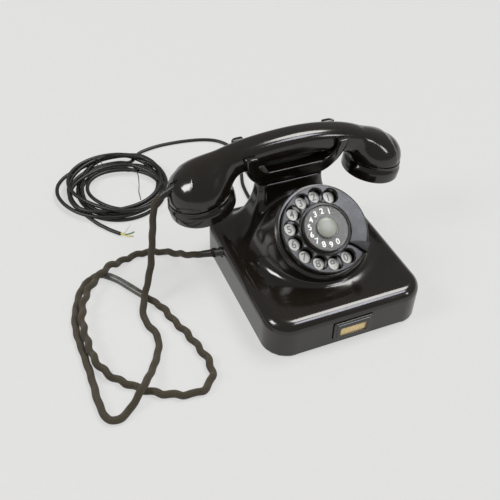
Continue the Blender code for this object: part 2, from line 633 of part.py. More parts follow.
def make_hook_switch(colours):
    """The lever that the stem presses, its bracket and pin, and the stack of contact springs."""
    steel = colours["steel"]
    side = [(LEVER_TIP_X, STEM_BOTTOM - GAP), (LEVER_TIP_X, STEM_BOTTOM - 2.4),
            (LEVER_PIVOT_X - 4.0, LEVER_PIVOT_Z - 2.0), (LEVER_PIVOT_X + 3.0, LEVER_PIVOT_Z - 3.0),
            (LEVER_PIVOT_X + 14.0, LEVER_PIVOT_Z - 1.0), (LEVER_PIVOT_X + 14.0, LEVER_PIVOT_Z + 1.0),
            (LEVER_PIVOT_X + 3.0, LEVER_PIVOT_Z + 3.2)]
    lever = add_mesh("hook_lever", lofted_shape([[(x, LEVER_Y + y, z) for x, z in side] for y in (-3.0, 3.0)]),
                     steel)
    bore_ends = ((LEVER_PIVOT_X, LEVER_Y - 9, LEVER_PIVOT_Z), (LEVER_PIVOT_X, LEVER_Y + 9, LEVER_PIVOT_Z))
    bore = rod("lever_bore", *bore_ends, PIN_RADIUS + GAP, steel, segments=12)
    combine(lever, [bore], "DIFFERENCE")
    low = PLATE_TOP + GAP
    bracket = block("hook_bracket", (LEVER_PIVOT_X - BRACKET_HALF, LEVER_Y - 5.0, low),
                    (LEVER_PIVOT_X + BRACKET_HALF, LEVER_Y + 5.0, LEVER_PIVOT_Z + 3.0), steel)
    slot = block("bracket_slot", (LEVER_PIVOT_X - 5.0, LEVER_Y - 3.6, low + 1.6),
                 (LEVER_PIVOT_X + 5.0, LEVER_Y + 3.6, LEVER_PIVOT_Z + 5.0), steel)
    pin_bore = rod("bracket_bore", *bore_ends, PIN_RADIUS + GAP, steel, segments=12)
    combine(bracket, [slot, pin_bore], "DIFFERENCE")
    rod("hook_pin", (LEVER_PIVOT_X, LEVER_Y - 6.0, LEVER_PIVOT_Z), (LEVER_PIVOT_X, LEVER_Y + 6.0,
        LEVER_PIVOT_Z), PIN_RADIUS, steel, segments=12)
    block("hook_contacts", (LEVER_PIVOT_X + BRACKET_HALF + GAP, LEVER_Y - 5.0, GONG_TOP + 2.5),
          (LEVER_PIVOT_X + 14.0, LEVER_Y + 4.0, LEVER_PIVOT_Z - 6.0), colours["bakelite"], None, 0.5)


# ---------------------------------------------------------------- bells and electrical pieces

BALL_GAP = CLAPPER_BALL + 2.3 + BELL_CLEARANCE
GONG_X = GONG_RADIUS + BALL_GAP
CLAPPER_PIVOT_Y = 66.0
GONG_TOP = 27.0
GONG_DEPTH = 11.0


def make_bells(colours):
    steel, brass = colours["steel"], colours["brass"]
    low = PLATE_TOP + GAP
    for index, side in enumerate((-1, 1)):
        place = Matrix.Translation((side * GONG_X, GONG_Y, 0.0))
        top, rim = GONG_TOP, GONG_TOP - GONG_DEPTH
        turned(f"gong_{index + 1}", [
            (3.0, top), (GONG_RADIUS * 0.55, top - 1.0), (GONG_RADIUS * 0.9, top - 4.5), (GONG_RADIUS, rim),
            (GONG_RADIUS - 1.2, rim), (GONG_RADIUS * 0.9 - 1.3, top - 5.2), (GONG_RADIUS * 0.55, top - 2.4),
            (3.0, top - 1.4)], brass, None, 28, place)
        turned(f"gong_post_{index + 1}", [
            (0.0, top + 2.0), (4.0, top + 2.0), (4.0, top + GAP), (2.6, top + GAP), (2.6, top - 1.4 - GAP),
            (4.0, top - 1.4 - GAP), (4.0, low), (0.0, low)], steel, None, 16, place)
    ball = turned_shape([(0.0, CLAPPER_BALL), (2.5, 2.5), (CLAPPER_BALL, 0.0), (2.5, -2.5),
                         (0.0, -CLAPPER_BALL)], 14)
    ball.transform(Matrix.Translation((0.0, GONG_Y, GONG_TOP - GONG_DEPTH + 1.5)))
    clapper = add_mesh("clapper", ball, steel)
    arm_z = GONG_TOP - GONG_DEPTH + 1.5
    arm = rod("clapper_arm", (0.0, GONG_Y, arm_z), (0.0, CLAPPER_PIVOT_Y, arm_z), 1.0, steel, segments=10)
    hub = turned("clapper_hub", [(3.0, 2.0), (3.0, -2.0), (1.5, -2.0), (1.5, 2.0)], steel, None, 16,
                 Matrix.Translation((0.0, CLAPPER_PIVOT_Y + 2.2, arm_z)))
    combine(clapper, [arm, hub], "UNION")
    turned("clapper_pin", [(0.0, arm_z + 5.0), (1.2, arm_z + 5.0), (1.2, low), (0.0, low)], steel, None, 12,
           Matrix.Translation((0.0, CLAPPER_PIVOT_Y + 2.2, 0.0)))
    sideways = Matrix.Rotation(math.radians(90), 4, "Y")
    for index, side in enumerate((-1, 1)):
        turned(f"bell_coil_{index + 1}", [
            (8.0, 12.0), (8.0, 10.5), (6.8, 10.5), (6.8, -10.5), (8.0, -10.5), (8.0, -12.0), (2.0, -12.0),
            (2.0, 12.0)], colours["winding"], None, 24,
            Matrix.Translation((side * 26.0, CLAPPER_PIVOT_Y + 8.0, 14.0)) @ sideways)


def make_electrics(colours):
    low = PLATE_TOP + GAP
    sideways = Matrix.Rotation(math.radians(90), 4, "Y")
    turned("induction_coil", [
        (12.0, 22.0), (12.0, 20.0), (9.5, 20.0), (9.5, -20.0), (12.0, -20.0), (12.0, -22.0), (3.0, -22.0),
        (3.0, 22.0)], colours["winding"], None, 28,
        Matrix.Translation((-36.0, -46.0, low + 12.1)) @ sideways)
    block("capacitor", (20.0, -58.0, low), (62.0, -36.0, low + 18.0), colours["tin"], None, 1.0)
    block("terminal_block", (-26.0, -79.0, low), (26.0, -66.0, low + 9.0), colours["bakelite"], None, 0.8)


# ---------------------------------------------------------------- handset

GRIP_LINE = [(-92.0, 90.0), (-84.0, 101.5), (-72.0, 109.5), (-56.0, 114.6), (-38.0, 118.0), (-16.0, 120.1), (6.0, 120.6),
             (26.0, 119.2), (46.0, 115.6), (62.0, 110.6), (76.0, 103.2), (86.0, 94.0), (92.0, 84.0)]


def grip_rings(growth=0.0):
    """Rounded sections square to the grip's own arched line."""
    rings = []
    line = [Vector((x, 0.0, z)) for x, z in GRIP_LINE]
    for index, centre in enumerate(line):
        before = line[max(index - 1, 0)]
        after = line[min(index + 1, len(line) - 1)]
        along = (after - before).normalized()
        upward = Vector((-along.z, 0.0, along.x))
        ring = []
        for step in range(16):
            angle = math.tau * step / 16
            wide = math.copysign(abs(math.cos(angle)) ** 0.8, math.cos(angle))
            tall = math.copysign(abs(math.sin(angle)) ** 0.8, math.sin(angle))
            point = (centre + Vector((0.0, SADDLE_Y + (GRIP_HALF_WIDTH + growth) * wide, 0.0))
                     + upward * (GRIP_HALF_HEIGHT + growth) * tall)
            ring.append(tuple(point))
        rings.append(ring)
    return rings


def cup_frame(name, x, z, lean):
    return add_frame(name, (x, SADDLE_Y, z), (0.0, math.radians(-lean), 0.0))


def make_handset(colours, mouth_frame, ear_frame):
    black = colours["black"]
    handle = add_mesh("handset_handle", lofted_shape(grip_rings()), black)
    for end, frame, radius, rise in (("mouth", mouth_frame, MOUTH_RADIUS, 42.0), ("ear", ear_frame, EAR_RADIUS, 38.0)):
        body = radius - 2.3
        start = CUP_SEAM
        shoulder = CUP_SEAM + 1.7
        profile = [(0.0, rise), (body * 0.35, rise - 1.2)]
        for step in (65, 50, 35, 18, 0):
            angle = math.radians(step)
            profile.append((body * math.cos(angle), shoulder + (rise - shoulder) * math.sin(angle)))
        profile += [(body, start), (0.0, start)]
        dome = turned(f"{end}_dome", profile, black, frame, 32)
        well = turned(f"{end}_well", [(0.0, 21.0), (body - 3.0, 21.0), (body - 3.0, 0.0), (0.0, 0.0)], black,
                      frame, 28)
        combine(handle, [dome], "UNION")
        combine(handle, [well], "DIFFERENCE")
        cap_in = body - 3.0 - GAP
        cap = turned(f"{end}piece_cap", [
            (0.0, 2.4), (10.0, 2.0), (14.0, 0.6), (radius - 4.0, -1.6), (radius - 1.0, -1.0), (radius, 1.0),
            (radius, 8.0), (body + 0.7, start - 1.6), (body + 0.7, start - GAP), (cap_in, start - GAP), (cap_in, start + 3.5),
            (cap_in - 2.0, start + 3.5), (cap_in - 2.0, 5.0), (0.0, 5.0)], black, frame, 36)
        vents = [rod(f"{end}_vent_0", (0.0, 0.0, -1.0), (0.0, 0.0, 9.0), 1.6, black, frame, segments=8)]
        for step in range(6):
            angle = math.tau * step / 6
            x, y = 7.0 * math.cos(angle), 7.0 * math.sin(angle)
            vents.append(rod(f"{end}_vent_{step + 1}", (x, y, -1.0), (x, y, 9.0), 1.6, black, frame, segments=8))
        combine(cap, vents, "DIFFERENCE")
        capsule = cap_in - 2.0 - CAPSULE_CLEARANCE
        label = "transmitter" if end == "mouth" else "receiver"
        turned(f"{label}_capsule", [
            (0.0, 18.0), (capsule * 0.7, 18.0), (capsule, 15.0), (capsule, 6.2), (capsule * 0.8, 5.4),
            (0.0, 5.4)], colours["tin"], frame, 28)
        if end == "mouth":
            boot_bore = rod("boot_bore", HANDSET_BOOT_OUT, HANDSET_BOOT_IN, BOOT_RADIUS + GAP, black)
            combine(handle, [boot_bore], "DIFFERENCE")
    rod("handset_cord_boot", HANDSET_BOOT_IN, HANDSET_BOOT_OUT, BOOT_RADIUS, colours["rubber"],
        end_radius=HANDSET_CORD / 2 + 0.2)
    return handle


BOOT_RADIUS = 4.2
HANDSET_BOOT_IN = (-106.5, 54.0, 101.0)
HANDSET_BOOT_OUT = (-122.6, 56.4, 90.6)

# ---------------------------------------------------------------- cords

UPPER_ROUTE = [
    (-123.2, 56.5, 90.2), (-125.6, 56.8, 88.5), (-128.6, 57.0, 83.6), (-130.6, 56, 77), (-133.5, 52, 66), (-136, 47, 56),
    (-139, 42, 45), (-143, 35, 32), (-149, 28, 19), (-155, 20, 9.8), (-160, 8, 4.4), (-160.5, -5, 3.3),
    (-157, -17, 3.2), (-157, -29, 3.2), (-162, -42, 3.2), (-171, -58, 5.6), (-181, -73, 10.3), (-190, -82, 8.2),
    (-199, -89, 4.0), (-208, -94, 3.2), (-216, -93, 3.2), (-219.5, -84, 3.2), (-220.5, -69, 3.2),
    (-220, -51, 3.2), (-220, -34, 3.2), (-220.5, -13, 3.2), (-220.5, 7, 3.2), (-218.5, 23, 3.2),
    (-213, 40, 3.2), (-207, 54, 3.2), (-199, 64, 3.2), (-191, 69.5, 3.2), (-186, 70.8, 3.2), (-183, 70.3, 3.2), (-181, 69.0, 3.2)]
SLEEVE_ROUTE = [(-180.2, 68.4, 3.4), (-178, 66.6, 3.4), (-174.5, 63, 3.4), (-169.5, 56.5, 3.4), (-163.5, 46.5, 3.4),
                (-157.5, 36, 3.4), (-152.5, 27.5, 3.4)]
LOWER_ROUTE = [
    (-152, 26.7, 3.3), (-149, 21.5, 3.2), (-144, 13, 3.2), (-140, 1, 3.2), (-137, -12, 3.2), (-132.5, -25, 3.2),
    (-129, -39, 3.2), (-126, -53, 3.2), (-124, -66, 3.2), (-126, -79, 3.2), (-133, -89, 3.2),
    (-143, -93, 3.2), (-154, -91, 3.2), (-166, -86, 3.2), (-178, -78.5, 3.2), (-186, -72, 3.2),
    (-193, -64.5, 3.2), (-202, -55, 3.8), (-209, -45, 6.2), (-213.5, -32, 8.2), (-214.5, -17, 8.5),
    (-214.5, 0, 8.5), (-213, 16, 8.6), (-208.5, 32, 8.7), (-201.5, 46, 8.8), (-194, 56, 9.2),
    (-185, 64, 10.3), (-175, 71.5, 10.3), (-164, 79, 5.4), (-152, 84, 3.3), (-140, 86, 3.2), (-129, 84.5, 3.2),
    (-118, 79.5, 3.4), (-109, 71.5, 6.0), (-101.5, 58.5, 12.5), (-95.5, 51.2, 16.6), (-92.6, 48.6, 18.1), (-90.1, 46.9, 19.2)]
LINE_ROUTE = [
    (-8, 104.2, 12.4), (-8, 107.4, 11.8), (-8, 111.5, 9.4), (-7.4, 117.5, 5.6), (-6.6, 124, 2.9), (-6, 131, 2.1), (-5, 145, 2.1),
    (-3, 158, 2.1), (1.5, 172, 2.1), (6.5, 187, 2.1), (10.5, 202, 2.1), (12, 216, 2.1), (11, 229, 2.1),
    (6, 241, 2.1), (-3, 250.5, 2.1), (-17, 257, 2.1), (-36, 261, 2.1), (-55, 262.5, 2.1), (-70, 262, 2.1),
    (-83, 259.5, 2.1), (-94, 255, 2.1)]
TAIL_ROUTE = [(-163, 139.5, 2.1), (-159, 133.5, 2.1), (-154.5, 128, 2.1), (-150.5, 123.5, 2.1)]


def make_cords(colours):
    braid, black = colours["braid"], colours["rubber"]
    cord("handset_cord_upper", UPPER_ROUTE, HANDSET_CORD, braid, 2.4 * HANDSET_CORD)
    cord("cord_sleeve", SLEEVE_ROUTE, SLEEVE_DIAMETER, colours["sleeve"], 2.4 * HANDSET_CORD)
    cord("handset_cord_lower", LOWER_ROUTE, HANDSET_CORD, braid, 2.4 * HANDSET_CORD)
    cord("line_cord_lead", LINE_ROUTE, LINE_CORD, black, 3 * LINE_CORD)
    cord("line_cord_tail", TAIL_ROUTE, LINE_CORD, black, 3 * LINE_CORD)
    turned("line_cord_coil", [
        (COIL_OUTER - 2, COIL_HEIGHT), (COIL_OUTER, COIL_HEIGHT - 3), (COIL_OUTER, 2), (COIL_OUTER - 2, 0.1),
        (COIL_INNER + 2, 0.1), (COIL_INNER, 2), (COIL_INNER, COIL_HEIGHT - 3), (COIL_INNER + 2, COIL_HEIGHT)],
        black, None, 28, Matrix.Translation((COIL_X, COIL_Y, 0.0)))
    rod("handset_cord_gland", HANDSET_GLAND_IN, HANDSET_GLAND_OUT, HANDSET_GLAND_RADIUS, black,
        end_radius=HANDSET_CORD / 2 + 0.2)
    rod("line_cord_gland", LINE_GLAND_IN, LINE_GLAND_OUT, LINE_GLAND_RADIUS, black,
        end_radius=LINE_CORD / 2 + 0.2)


def main():
    clear_scene()
    colours = {
        "black": make_material("black_moulding", (0.012, 0.011, 0.010), 0.12),
        "bakelite": make_material("brown_moulding", (0.09, 0.035, 0.015), 0.35),
        "steel": make_material("plated_steel", (0.35, 0.35, 0.34), 0.3, 1.0),
        "brass": make_material("brass", (0.55, 0.40, 0.16), 0.3, 1.0),
        "tin": make_material("tinned_can", (0.5, 0.5, 0.5), 0.35, 1.0),
        "enamel": make_material("ring_enamel", (0.02, 0.02, 0.02), 0.25),
        "card": make_material("dark_card", (0.03, 0.03, 0.03), 0.5),
        "paper": make_material("cream_paper", (0.72, 0.6, 0.33), 0.7),
        "clear": make_material("clear_slip", (0.9, 0.9, 0.88), 0.1),
        "grey": make_material("hub_grey", (0.25, 0.25, 0.25), 0.25),
        "rubber": make_material("black_rubber", (0.02, 0.02, 0.018), 0.55),
        "winding": make_material("coil_winding", (0.25, 0.09, 0.03), 0.45),
        "braid": make_material("brown_braid", (0.07, 0.05, 0.03), 0.8),
        "sleeve": make_material("grey_sleeve", (0.2, 0.2, 0.19), 0.4),
    }
    dial_frame = add_frame("dial_axis", (0.0, DIAL_Y, DIAL_Z), (math.radians(DIAL_TILT), 0.0, 0.0))
    cradle_frame = add_frame("cradle_axis", (0.0, 0.0, 0.0))
    mouth_frame = cup_frame("mouth_axis", MOUTH_X, MOUTH_Z, MOUTH_LEAN)
    ear_frame = cup_frame("ear_axis", EAR_X, EAR_Z, EAR_LEAN)
    make_housing(colours["black"], dial_frame)
    make_floor_pieces(colours["steel"], colours["rubber"])
    make_label(colours["black"], colours["paper"], colours["clear"])
    make_dial(colours, dial_frame)
    make_cradle(colours["black"], colours["steel"], cradle_frame)
    make_hook_switch(colours)
    make_bells(colours)
    make_electrics(colours)
    make_handset(colours, mouth_frame, ear_frame)
    make_cords(colours)


main()
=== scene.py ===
# %% [markdown]
# # A moulded desk telephone
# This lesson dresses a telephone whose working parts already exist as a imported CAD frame. The frame
# gives every part its place, so each piece below is built where the frame says, in metres, with +X to
# the right of a person at the dial, the front facing -Y and +Z up. Lengths are written in millimetres
# and multiplied by `MM`, because that is how a maker would measure them.

# %% Load the frame
import json
import math
import random

import bmesh
import bpy
import numpy as np
from mathutils import Matrix, Vector


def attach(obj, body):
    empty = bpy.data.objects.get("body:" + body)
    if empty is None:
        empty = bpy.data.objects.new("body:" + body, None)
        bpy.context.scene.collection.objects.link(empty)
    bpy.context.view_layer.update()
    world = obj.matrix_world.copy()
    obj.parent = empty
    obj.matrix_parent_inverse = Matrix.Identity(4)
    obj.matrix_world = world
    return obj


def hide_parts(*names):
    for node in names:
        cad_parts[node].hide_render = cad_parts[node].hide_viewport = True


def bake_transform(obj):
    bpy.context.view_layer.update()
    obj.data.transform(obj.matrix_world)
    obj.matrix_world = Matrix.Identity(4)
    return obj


MM = 0.001
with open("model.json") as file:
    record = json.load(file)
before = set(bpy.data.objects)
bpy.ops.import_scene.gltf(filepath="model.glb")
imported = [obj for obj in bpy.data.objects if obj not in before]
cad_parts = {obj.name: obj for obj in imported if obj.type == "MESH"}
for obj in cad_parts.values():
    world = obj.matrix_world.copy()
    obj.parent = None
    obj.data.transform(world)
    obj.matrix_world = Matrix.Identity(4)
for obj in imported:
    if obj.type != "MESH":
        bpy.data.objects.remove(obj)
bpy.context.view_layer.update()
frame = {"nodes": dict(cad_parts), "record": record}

# %% [markdown]
# ## Camera
# The camera stands in front of the telephone, to its left and well above it. A lens of 52 mm on a
# 36 mm sensor keeps the front a little larger than the back. Azimuth, elevation and roll say more
# to a reader than a matrix does, so the three axes are worked out from them.

# %% Camera
AZIMUTH, ELEVATION, ROLL = (math.radians(angle) for angle in (-23.52, 41.82, 1.58))
backward = Vector((math.sin(AZIMUTH) * math.cos(ELEVATION), -math.cos(AZIMUTH) * math.cos(ELEVATION),
                   math.sin(ELEVATION)))
level_right = Vector((math.cos(AZIMUTH), math.sin(AZIMUTH), 0.0))
level_up = backward.cross(level_right)
right = level_right * math.cos(ROLL) + level_up * math.sin(ROLL)
camera_data = bpy.data.cameras.new("camera")
camera_data.lens = 52.0
camera_data.sensor_width = 36.0
camera = bpy.data.objects.new("camera", camera_data)
camera.matrix_world = (Matrix.Translation((-0.2509, -0.4373, 0.4808))
                       @ Matrix((right, backward.cross(right), backward)).transposed().to_4x4())
bpy.context.collection.objects.link(camera)
bpy.context.scene.camera = camera
print("camera at", tuple(round(value, 3) for value in camera.matrix_world.translation))

# %% [markdown]
# ## Floor and light
# The telephone stands on a wide pale sheet that is lit from below, so it gives off some light of its
# own and keeps the shadows on it thin. A large soft panel hangs almost overhead and draws the bright
# lines along the moulding's round edges. It is a sun lamp with a wide angle, which lights the sheet
# evenly. Small soft boxes at the left and in front give the round highlights. A dim sky fills the
# rest: a black glossy object is seen mostly by what it reflects.

# %% Colour and material helpers
def linear(code):
    """An sRGB hex colour as the linear colour that shaders take."""
    parts = [int(code[index:index + 2], 16) / 255 for index in (1, 3, 5)]
    return (*(part / 12.92 if part <= 0.04045 else ((part + 0.055) / 1.055) ** 2.4 for part in parts), 1.0)


def add_node(tree, kind, values=None, links=None, **settings):
    """Add a node with its settings, its input values, and the sockets that feed its inputs."""
    made = tree.nodes.new(kind)
    for name, value in settings.items():
        setattr(made, name, value)
    for socket, value in (values or {}).items():
        made.inputs[socket].default_value = value
    for socket, source in (links or {}).items():
        tree.links.new(source, made.inputs[socket])
    return made


def start_material(name, colour, roughness, **sockets):
    """A material whose Principled shader has its plain values; returns it and its tree."""
    material = bpy.data.materials.new(name)
    material.use_nodes = True
    shader = material.node_tree.nodes["Principled BSDF"]
    shader.inputs["Base Color"].default_value = linear(colour)
    shader.inputs["Roughness"].default_value = roughness
    for socket, value in sockets.items():
        shader.inputs[socket.replace("_", " ")].default_value = value
    return material, material.node_tree


def object_place(tree):
    return add_node(tree, "ShaderNodeTexCoord").outputs["Object"]


def noise(tree, place, grain, detail, **values):
    """A noise whose grain is in millimetres."""
    values.update(Scale=1 / (grain * MM), Detail=detail)
    return add_node(tree, "ShaderNodeTexNoise", values, {"Vector": place}).outputs["Fac"]


def mix(tree, factor, first, second):
    """A colour between two ends, each a colour or a socket."""
    ends = {"A": first, "B": second}
    values = {name: end for name, end in ends.items() if isinstance(end, tuple)}
    links = {name: end for name, end in ends.items() if name not in values}
    links["Factor"] = factor
    return add_node(tree, "ShaderNodeMix", values, links, data_type="RGBA").outputs["Result"]


def span(tree, value, **ends):
    """A value carried from one range to another."""
    ends = {name.replace("_", " "): end for name, end in ends.items()}
    return add_node(tree, "ShaderNodeMapRange", ends, {"Value": value}).outputs["Result"]


def relief(tree, height, strength, depth):
    """A bump whose depth is in millimetres."""
    return add_node(tree, "ShaderNodeBump", {"Strength": strength, "Distance": depth * MM},
                    {"Height": height}).outputs["Normal"]


def dress(material, **sources):
    """Feed the shader's inputs from these sockets."""
    shader = material.node_tree.nodes["Principled BSDF"]
    for socket, source in sources.items():
        material.node_tree.links.new(source, shader.inputs[socket.replace("_", " ")])
    return material


print("mid grey is", round(linear("#808080")[0], 3), "in linear light")

# %% Paper floor
paper, tree = start_material("lit_paper_sheet", "#646463", 0.9, Emission_Color=linear("#FBFBFA"),
                             Emission_Strength=0.585)
fibres = add_node(tree, "ShaderNodeTexNoise", {"Scale": 900.0, "Detail": 3.0}).outputs["Fac"]
dress(paper, Base_Color=mix(tree, fibres, linear("#636362"), linear("#666665")))
bpy.ops.mesh.primitive_plane_add(size=12.0)
floor = bpy.context.object
floor.name = "paper_floor"
floor.data.materials.append(paper)
print("floor is", floor.dimensions.x, "m wide")


# %% Lights
def direction(azimuth, elevation):
    """A direction from the telephone; azimuth 0 is straight in front, and 90 is to the right."""
    turn, rise = math.radians(azimuth), math.radians(elevation)
    return Vector((math.sin(turn) * math.cos(rise), -math.cos(turn) * math.cos(rise), math.sin(rise)))


def hang_light(light, towards, distance, colour):
    """Hang a light in this direction, facing the telephone."""
    light.color = linear(colour)[:3]
    lamp = bpy.data.objects.new(light.name, light)
    lamp.location = towards * distance
    lamp.rotation_euler = (-towards).to_track_quat("-Z", "Y").to_euler()
    bpy.context.collection.objects.link(lamp)


def add_softbox(name, azimuth, elevation, distance, size, power, colour="#FFFFFF"):
    light = bpy.data.lights.new(name, "AREA")
    light.shape = "RECTANGLE"
    light.size, light.size_y = size
    light.energy = power
    hang_light(light, direction(azimuth, elevation), distance, colour)


overhead = bpy.data.lights.new("overhead_panel", "SUN")
overhead.energy = 1.9
overhead.angle = math.radians(27)
hang_light(overhead, direction(104, 64), 2.0, "#FFFDF8")
add_softbox("left_softbox", -93, 40, 3.5, (1.15, 1.15), 60.0)
add_softbox("right_front_softbox", 48, 58, 3.5, (1.0, 1.0), 30.0, "#F2F4FF")
add_softbox("low_front_softbox", 43, 29, 3.5, (0.4, 0.7), 10.0)
world = bpy.data.worlds.new("studio")
bpy.context.scene.world = world
world.use_nodes = True
world.node_tree.nodes["Background"].inputs["Color"].default_value = linear("#F7F6F4")
world.node_tree.nodes["Background"].inputs["Strength"].default_value = 0.28
bpy.context.scene.view_settings.view_transform = "Standard"

# %% [markdown]
# ## Black phenolic moulding
# The housing, handset and cradle are phenolic resin with wood flour, pressed hot in polished steel
# moulds. It is a dense plastic with a high gloss. Under the shine the filler shows as a faint brown
# cloud and as fine specks about 0.4 mm across, and years of hands leave it a little less glossy in
# places. One material carries all three: colour from two noises, roughness from a third, and a bump
# far below a tenth of a millimetre for the slightly uneven mould polish.

# %% Phenolic
CLOUD_SIZE, WEAR_SIZE, RIPPLE_SIZE = 35.0, 22, 9


def mottled(name, dark, light, speck, rough, ior, speck_size=0.4, ripple=0.02):
    """Moulded filled plastic: a cloudy base colour, fine specks and an uneven polish."""
    material, tree = start_material(name, dark, rough[0], IOR=ior)
    place = object_place(tree)
    base = mix(tree, noise(tree, place, CLOUD_SIZE, 5.0), linear(dark), linear(light))
    specks = span(tree, noise(tree, place, speck_size, 1.0), From_Min=0.66, From_Max=0.74)
    wear = noise(tree, place, WEAR_SIZE, 6.0, Roughness=0.6)
    return dress(material, Base_Color=mix(tree, specks, base, linear(speck)),
                 Roughness=span(tree, wear, From_Min=0.3, From_Max=0.7, To_Min=rough[0], To_Max=rough[1]),
                 Normal=relief(tree, noise(tree, place, RIPPLE_SIZE, 2.0), 0.25, ripple))


phenolic = mottled("black_phenolic", "#0F0D0B", "#1A1610", "#33281D", (0.10, 0.19), 1.6, ripple=0.006)
wheel_lacquer = mottled("stoved_black_lacquer", "#121110", "#191817", "#24221F", (0.24, 0.34), 1.5, 0.3)
print("moulding:", phenolic.name, "| wheel:", wheel_lacquer.name)

# %% [markdown]
# ## Metals
# The small parts are mild steel plated with nickel or zinc, brass turned on a lathe, and a tinned can.
# Turning and rolling leave fine lines, so each metal gets a noise that is stretched one way: about
# 0.2 mm between lines, which is drawn coarser than a real cut so that it shows.

# %% Metals
def worked_metal(name, dark, light, rough, line_spacing=0.25, stretch=(1.0, 1.0, 12.0)):
    """Metal with fine tool lines: they vary its colour a little and its roughness more."""
    material, tree = start_material(name, light, rough, Metallic=1.0)
    turned = add_node(tree, "ShaderNodeMapping", {"Scale": stretch}, {"Vector": object_place(tree)})
    lines = noise(tree, turned.outputs["Vector"], line_spacing * 8, 4.0)
    return dress(material, Base_Color=mix(tree, lines, linear(dark), linear(light)),
                 Roughness=span(tree, lines, To_Min=rough * 0.7, To_Max=rough * 1.4),
                 Normal=relief(tree, lines, 0.2, 0.01))


nickel_steel = worked_metal("nickel_plated_steel", "#8E8C87", "#B5B3AD", 0.28)
zinc_sheet = worked_metal("zinc_plated_sheet", "#85878A", "#A9ABAE", 0.42, 0.6, (1.0, 14.0, 1.0))
turned_brass = worked_metal("turned_brass", "#8A6B34", "#B8944D", 0.3)
tinned_can = worked_metal("tinned_sheet", "#9C9C98", "#BFBFBB", 0.36, 0.5)
print("metals:", nickel_steel.name, zinc_sheet.name, turned_brass.name, tinned_can.name)


# %% [markdown]
# ## Enamel, card, clear cover, rubber and winding
# The number ring is enamelled, the number card in front is aged paper behind a clear celluloid slip,
# and the flexible parts are rubber. Each is one plain dielectric with a noise at the scale of its own
# surface: orange-peel for enamel, fibres for paper, bloom for rubber.

# %% Other finishes
def plain_finish(name, dark, light, rough, grain, depth, **sockets):
    """A dielectric with a fine grain in its colour, its gloss and its relief."""
    material, tree = start_material(name, light, rough, **sockets)
    fine = noise(tree, object_place(tree), grain, 4.0)
    return dress(material, Base_Color=mix(tree, fine, linear(dark), linear(light)),
                 Roughness=span(tree, fine, To_Min=rough * 0.8, To_Max=min(rough * 1.3, 1.0)),
                 Normal=relief(tree, fine, 0.4, depth))


browned_lacquer = plain_finish("browned_ring_lacquer", "#17130F", "#2C251B", 0.3, 1.0, 0.01)
stop_enamel = plain_finish("worn_black_lacquer", "#060606", "#0E0D0C", 0.3, 2.0, 0.01,
                           Specular_IOR_Level=0.22)
black_enamel = plain_finish("black_enamel", "#060606", "#0C0C0B", 0.3, 3.0, 0.01, IOR=1.55)
white_enamel = plain_finish("aged_white_enamel", "#C6C6BC", "#E0E0D8", 0.3, 2.0, 0.01, IOR=1.55)
digit_ink = plain_finish("grey_fired_ink", "#6C6C67", "#807F79", 0.4, 1.0, 0.01)
white_ink = plain_finish("white_card_ink", "#F2F3EE", "#FFFFFB", 0.5, 0.8, 0.01)
printed_card = plain_finish("dark_printed_card", "#3E3F3F", "#4B4C4B", 0.35, 0.6, 0.0004)
hub_cap_metal = plain_finish("grey_hub_lacquer", "#7E8179", "#9A9D93", 0.3, 4.0, 0.01)
cream_card = plain_finish("aged_cream_card", "#EBCB85", "#FFE7B0", 0.75, 3.0, 0.02)
rubber = plain_finish("black_rubber", "#0D0E0B", "#1B1C17", 0.42, 1.2, 0.03)
foot_rubber = plain_finish("grey_foot_rubber", "#262624", "#343431", 0.8, 1.0, 0.05)
sleeve_plastic = plain_finish("grey_pvc_sleeve", "#2A2926", "#6A6963", 0.32, 6.0, 0.05)
paxolin = plain_finish("brown_laminate", "#3B2010", "#57331A", 0.45, 1.5, 0.02)
winding = plain_finish("varnished_winding", "#5A2A12", "#83451F", 0.35, 0.5, 0.06)
celluloid, tree = start_material("clear_celluloid", "#F4F1E4", 0.06, IOR=1.5, Alpha=0.03)
scuffs = add_node(tree, "ShaderNodeTexNoise", {"Scale": 1 / (5 * MM), "Detail": 6.0}).outputs["Fac"]
dress(celluloid, Roughness=span(tree, scuffs, To_Min=0.02, To_Max=0.12))
print("finishes ready:", len(bpy.data.materials))

# %% [markdown]
# ## Braided cord
# The handset cord's conductors are wrapped in a braid of dark brown cotton. Threads run both ways
# round the cord at about 45 degrees, in bundles 1.6 mm wide, and cross over and under. The tube that
# carries it has its own coordinates in millimetres, one along and one around, and two sets of sine
# waves in those coordinates give the crossing threads. The same waves paint the colour dark in the
# grooves between threads and light on their crowns: painted shade and painted highlight.

# %% Braid
BUNDLE = 1.6
HANDSET_CORD = 6.3


def braid_material(name, dark, mid, light):
    """Threads that cross both ways round a cord, with fuzz and soiling, and with painted shade in the grooves and
    painted highlight on the crowns.
    """
    material, tree = start_material(name, mid, 0.85, Sheen_Weight=0.12, Sheen_Roughness=0.5)
    uv = add_node(tree, "ShaderNodeUVMap", uv_map="cord_mm").outputs["UV"]
    axes = add_node(tree, "ShaderNodeSeparateXYZ", links={"Vector": uv}).outputs

    def calculate(operation, *terms):
        numbers = {index: term for index, term in enumerate(terms) if isinstance(term, float)}
        sockets = {index: term for index, term in enumerate(terms) if index not in numbers}
        return add_node(tree, "ShaderNodeMath", numbers, sockets, operation=operation).outputs[0]

    waves = [calculate("SINE", calculate("MULTIPLY", calculate(operation, axes["X"], axes["Y"]),
                                         math.tau / (BUNDLE * 1.414))) for operation in ("ADD", "SUBTRACT")]
    place = object_place(tree)
    height = calculate("ADD", calculate("MAXIMUM", *waves), noise(tree, place, 0.5, 3.0))
    # painted shade and painted highlight: the thread colour runs from dark in the grooves to light on the crowns
    thread = mix(tree, span(tree, height, From_Min=-0.2, From_Max=1.7), linear(dark), linear(light))
    return dress(material, Base_Color=mix(tree, noise(tree, place, 18, 3.0), thread, linear(mid)),
                 Normal=relief(tree, height, 0.9, 0.35))
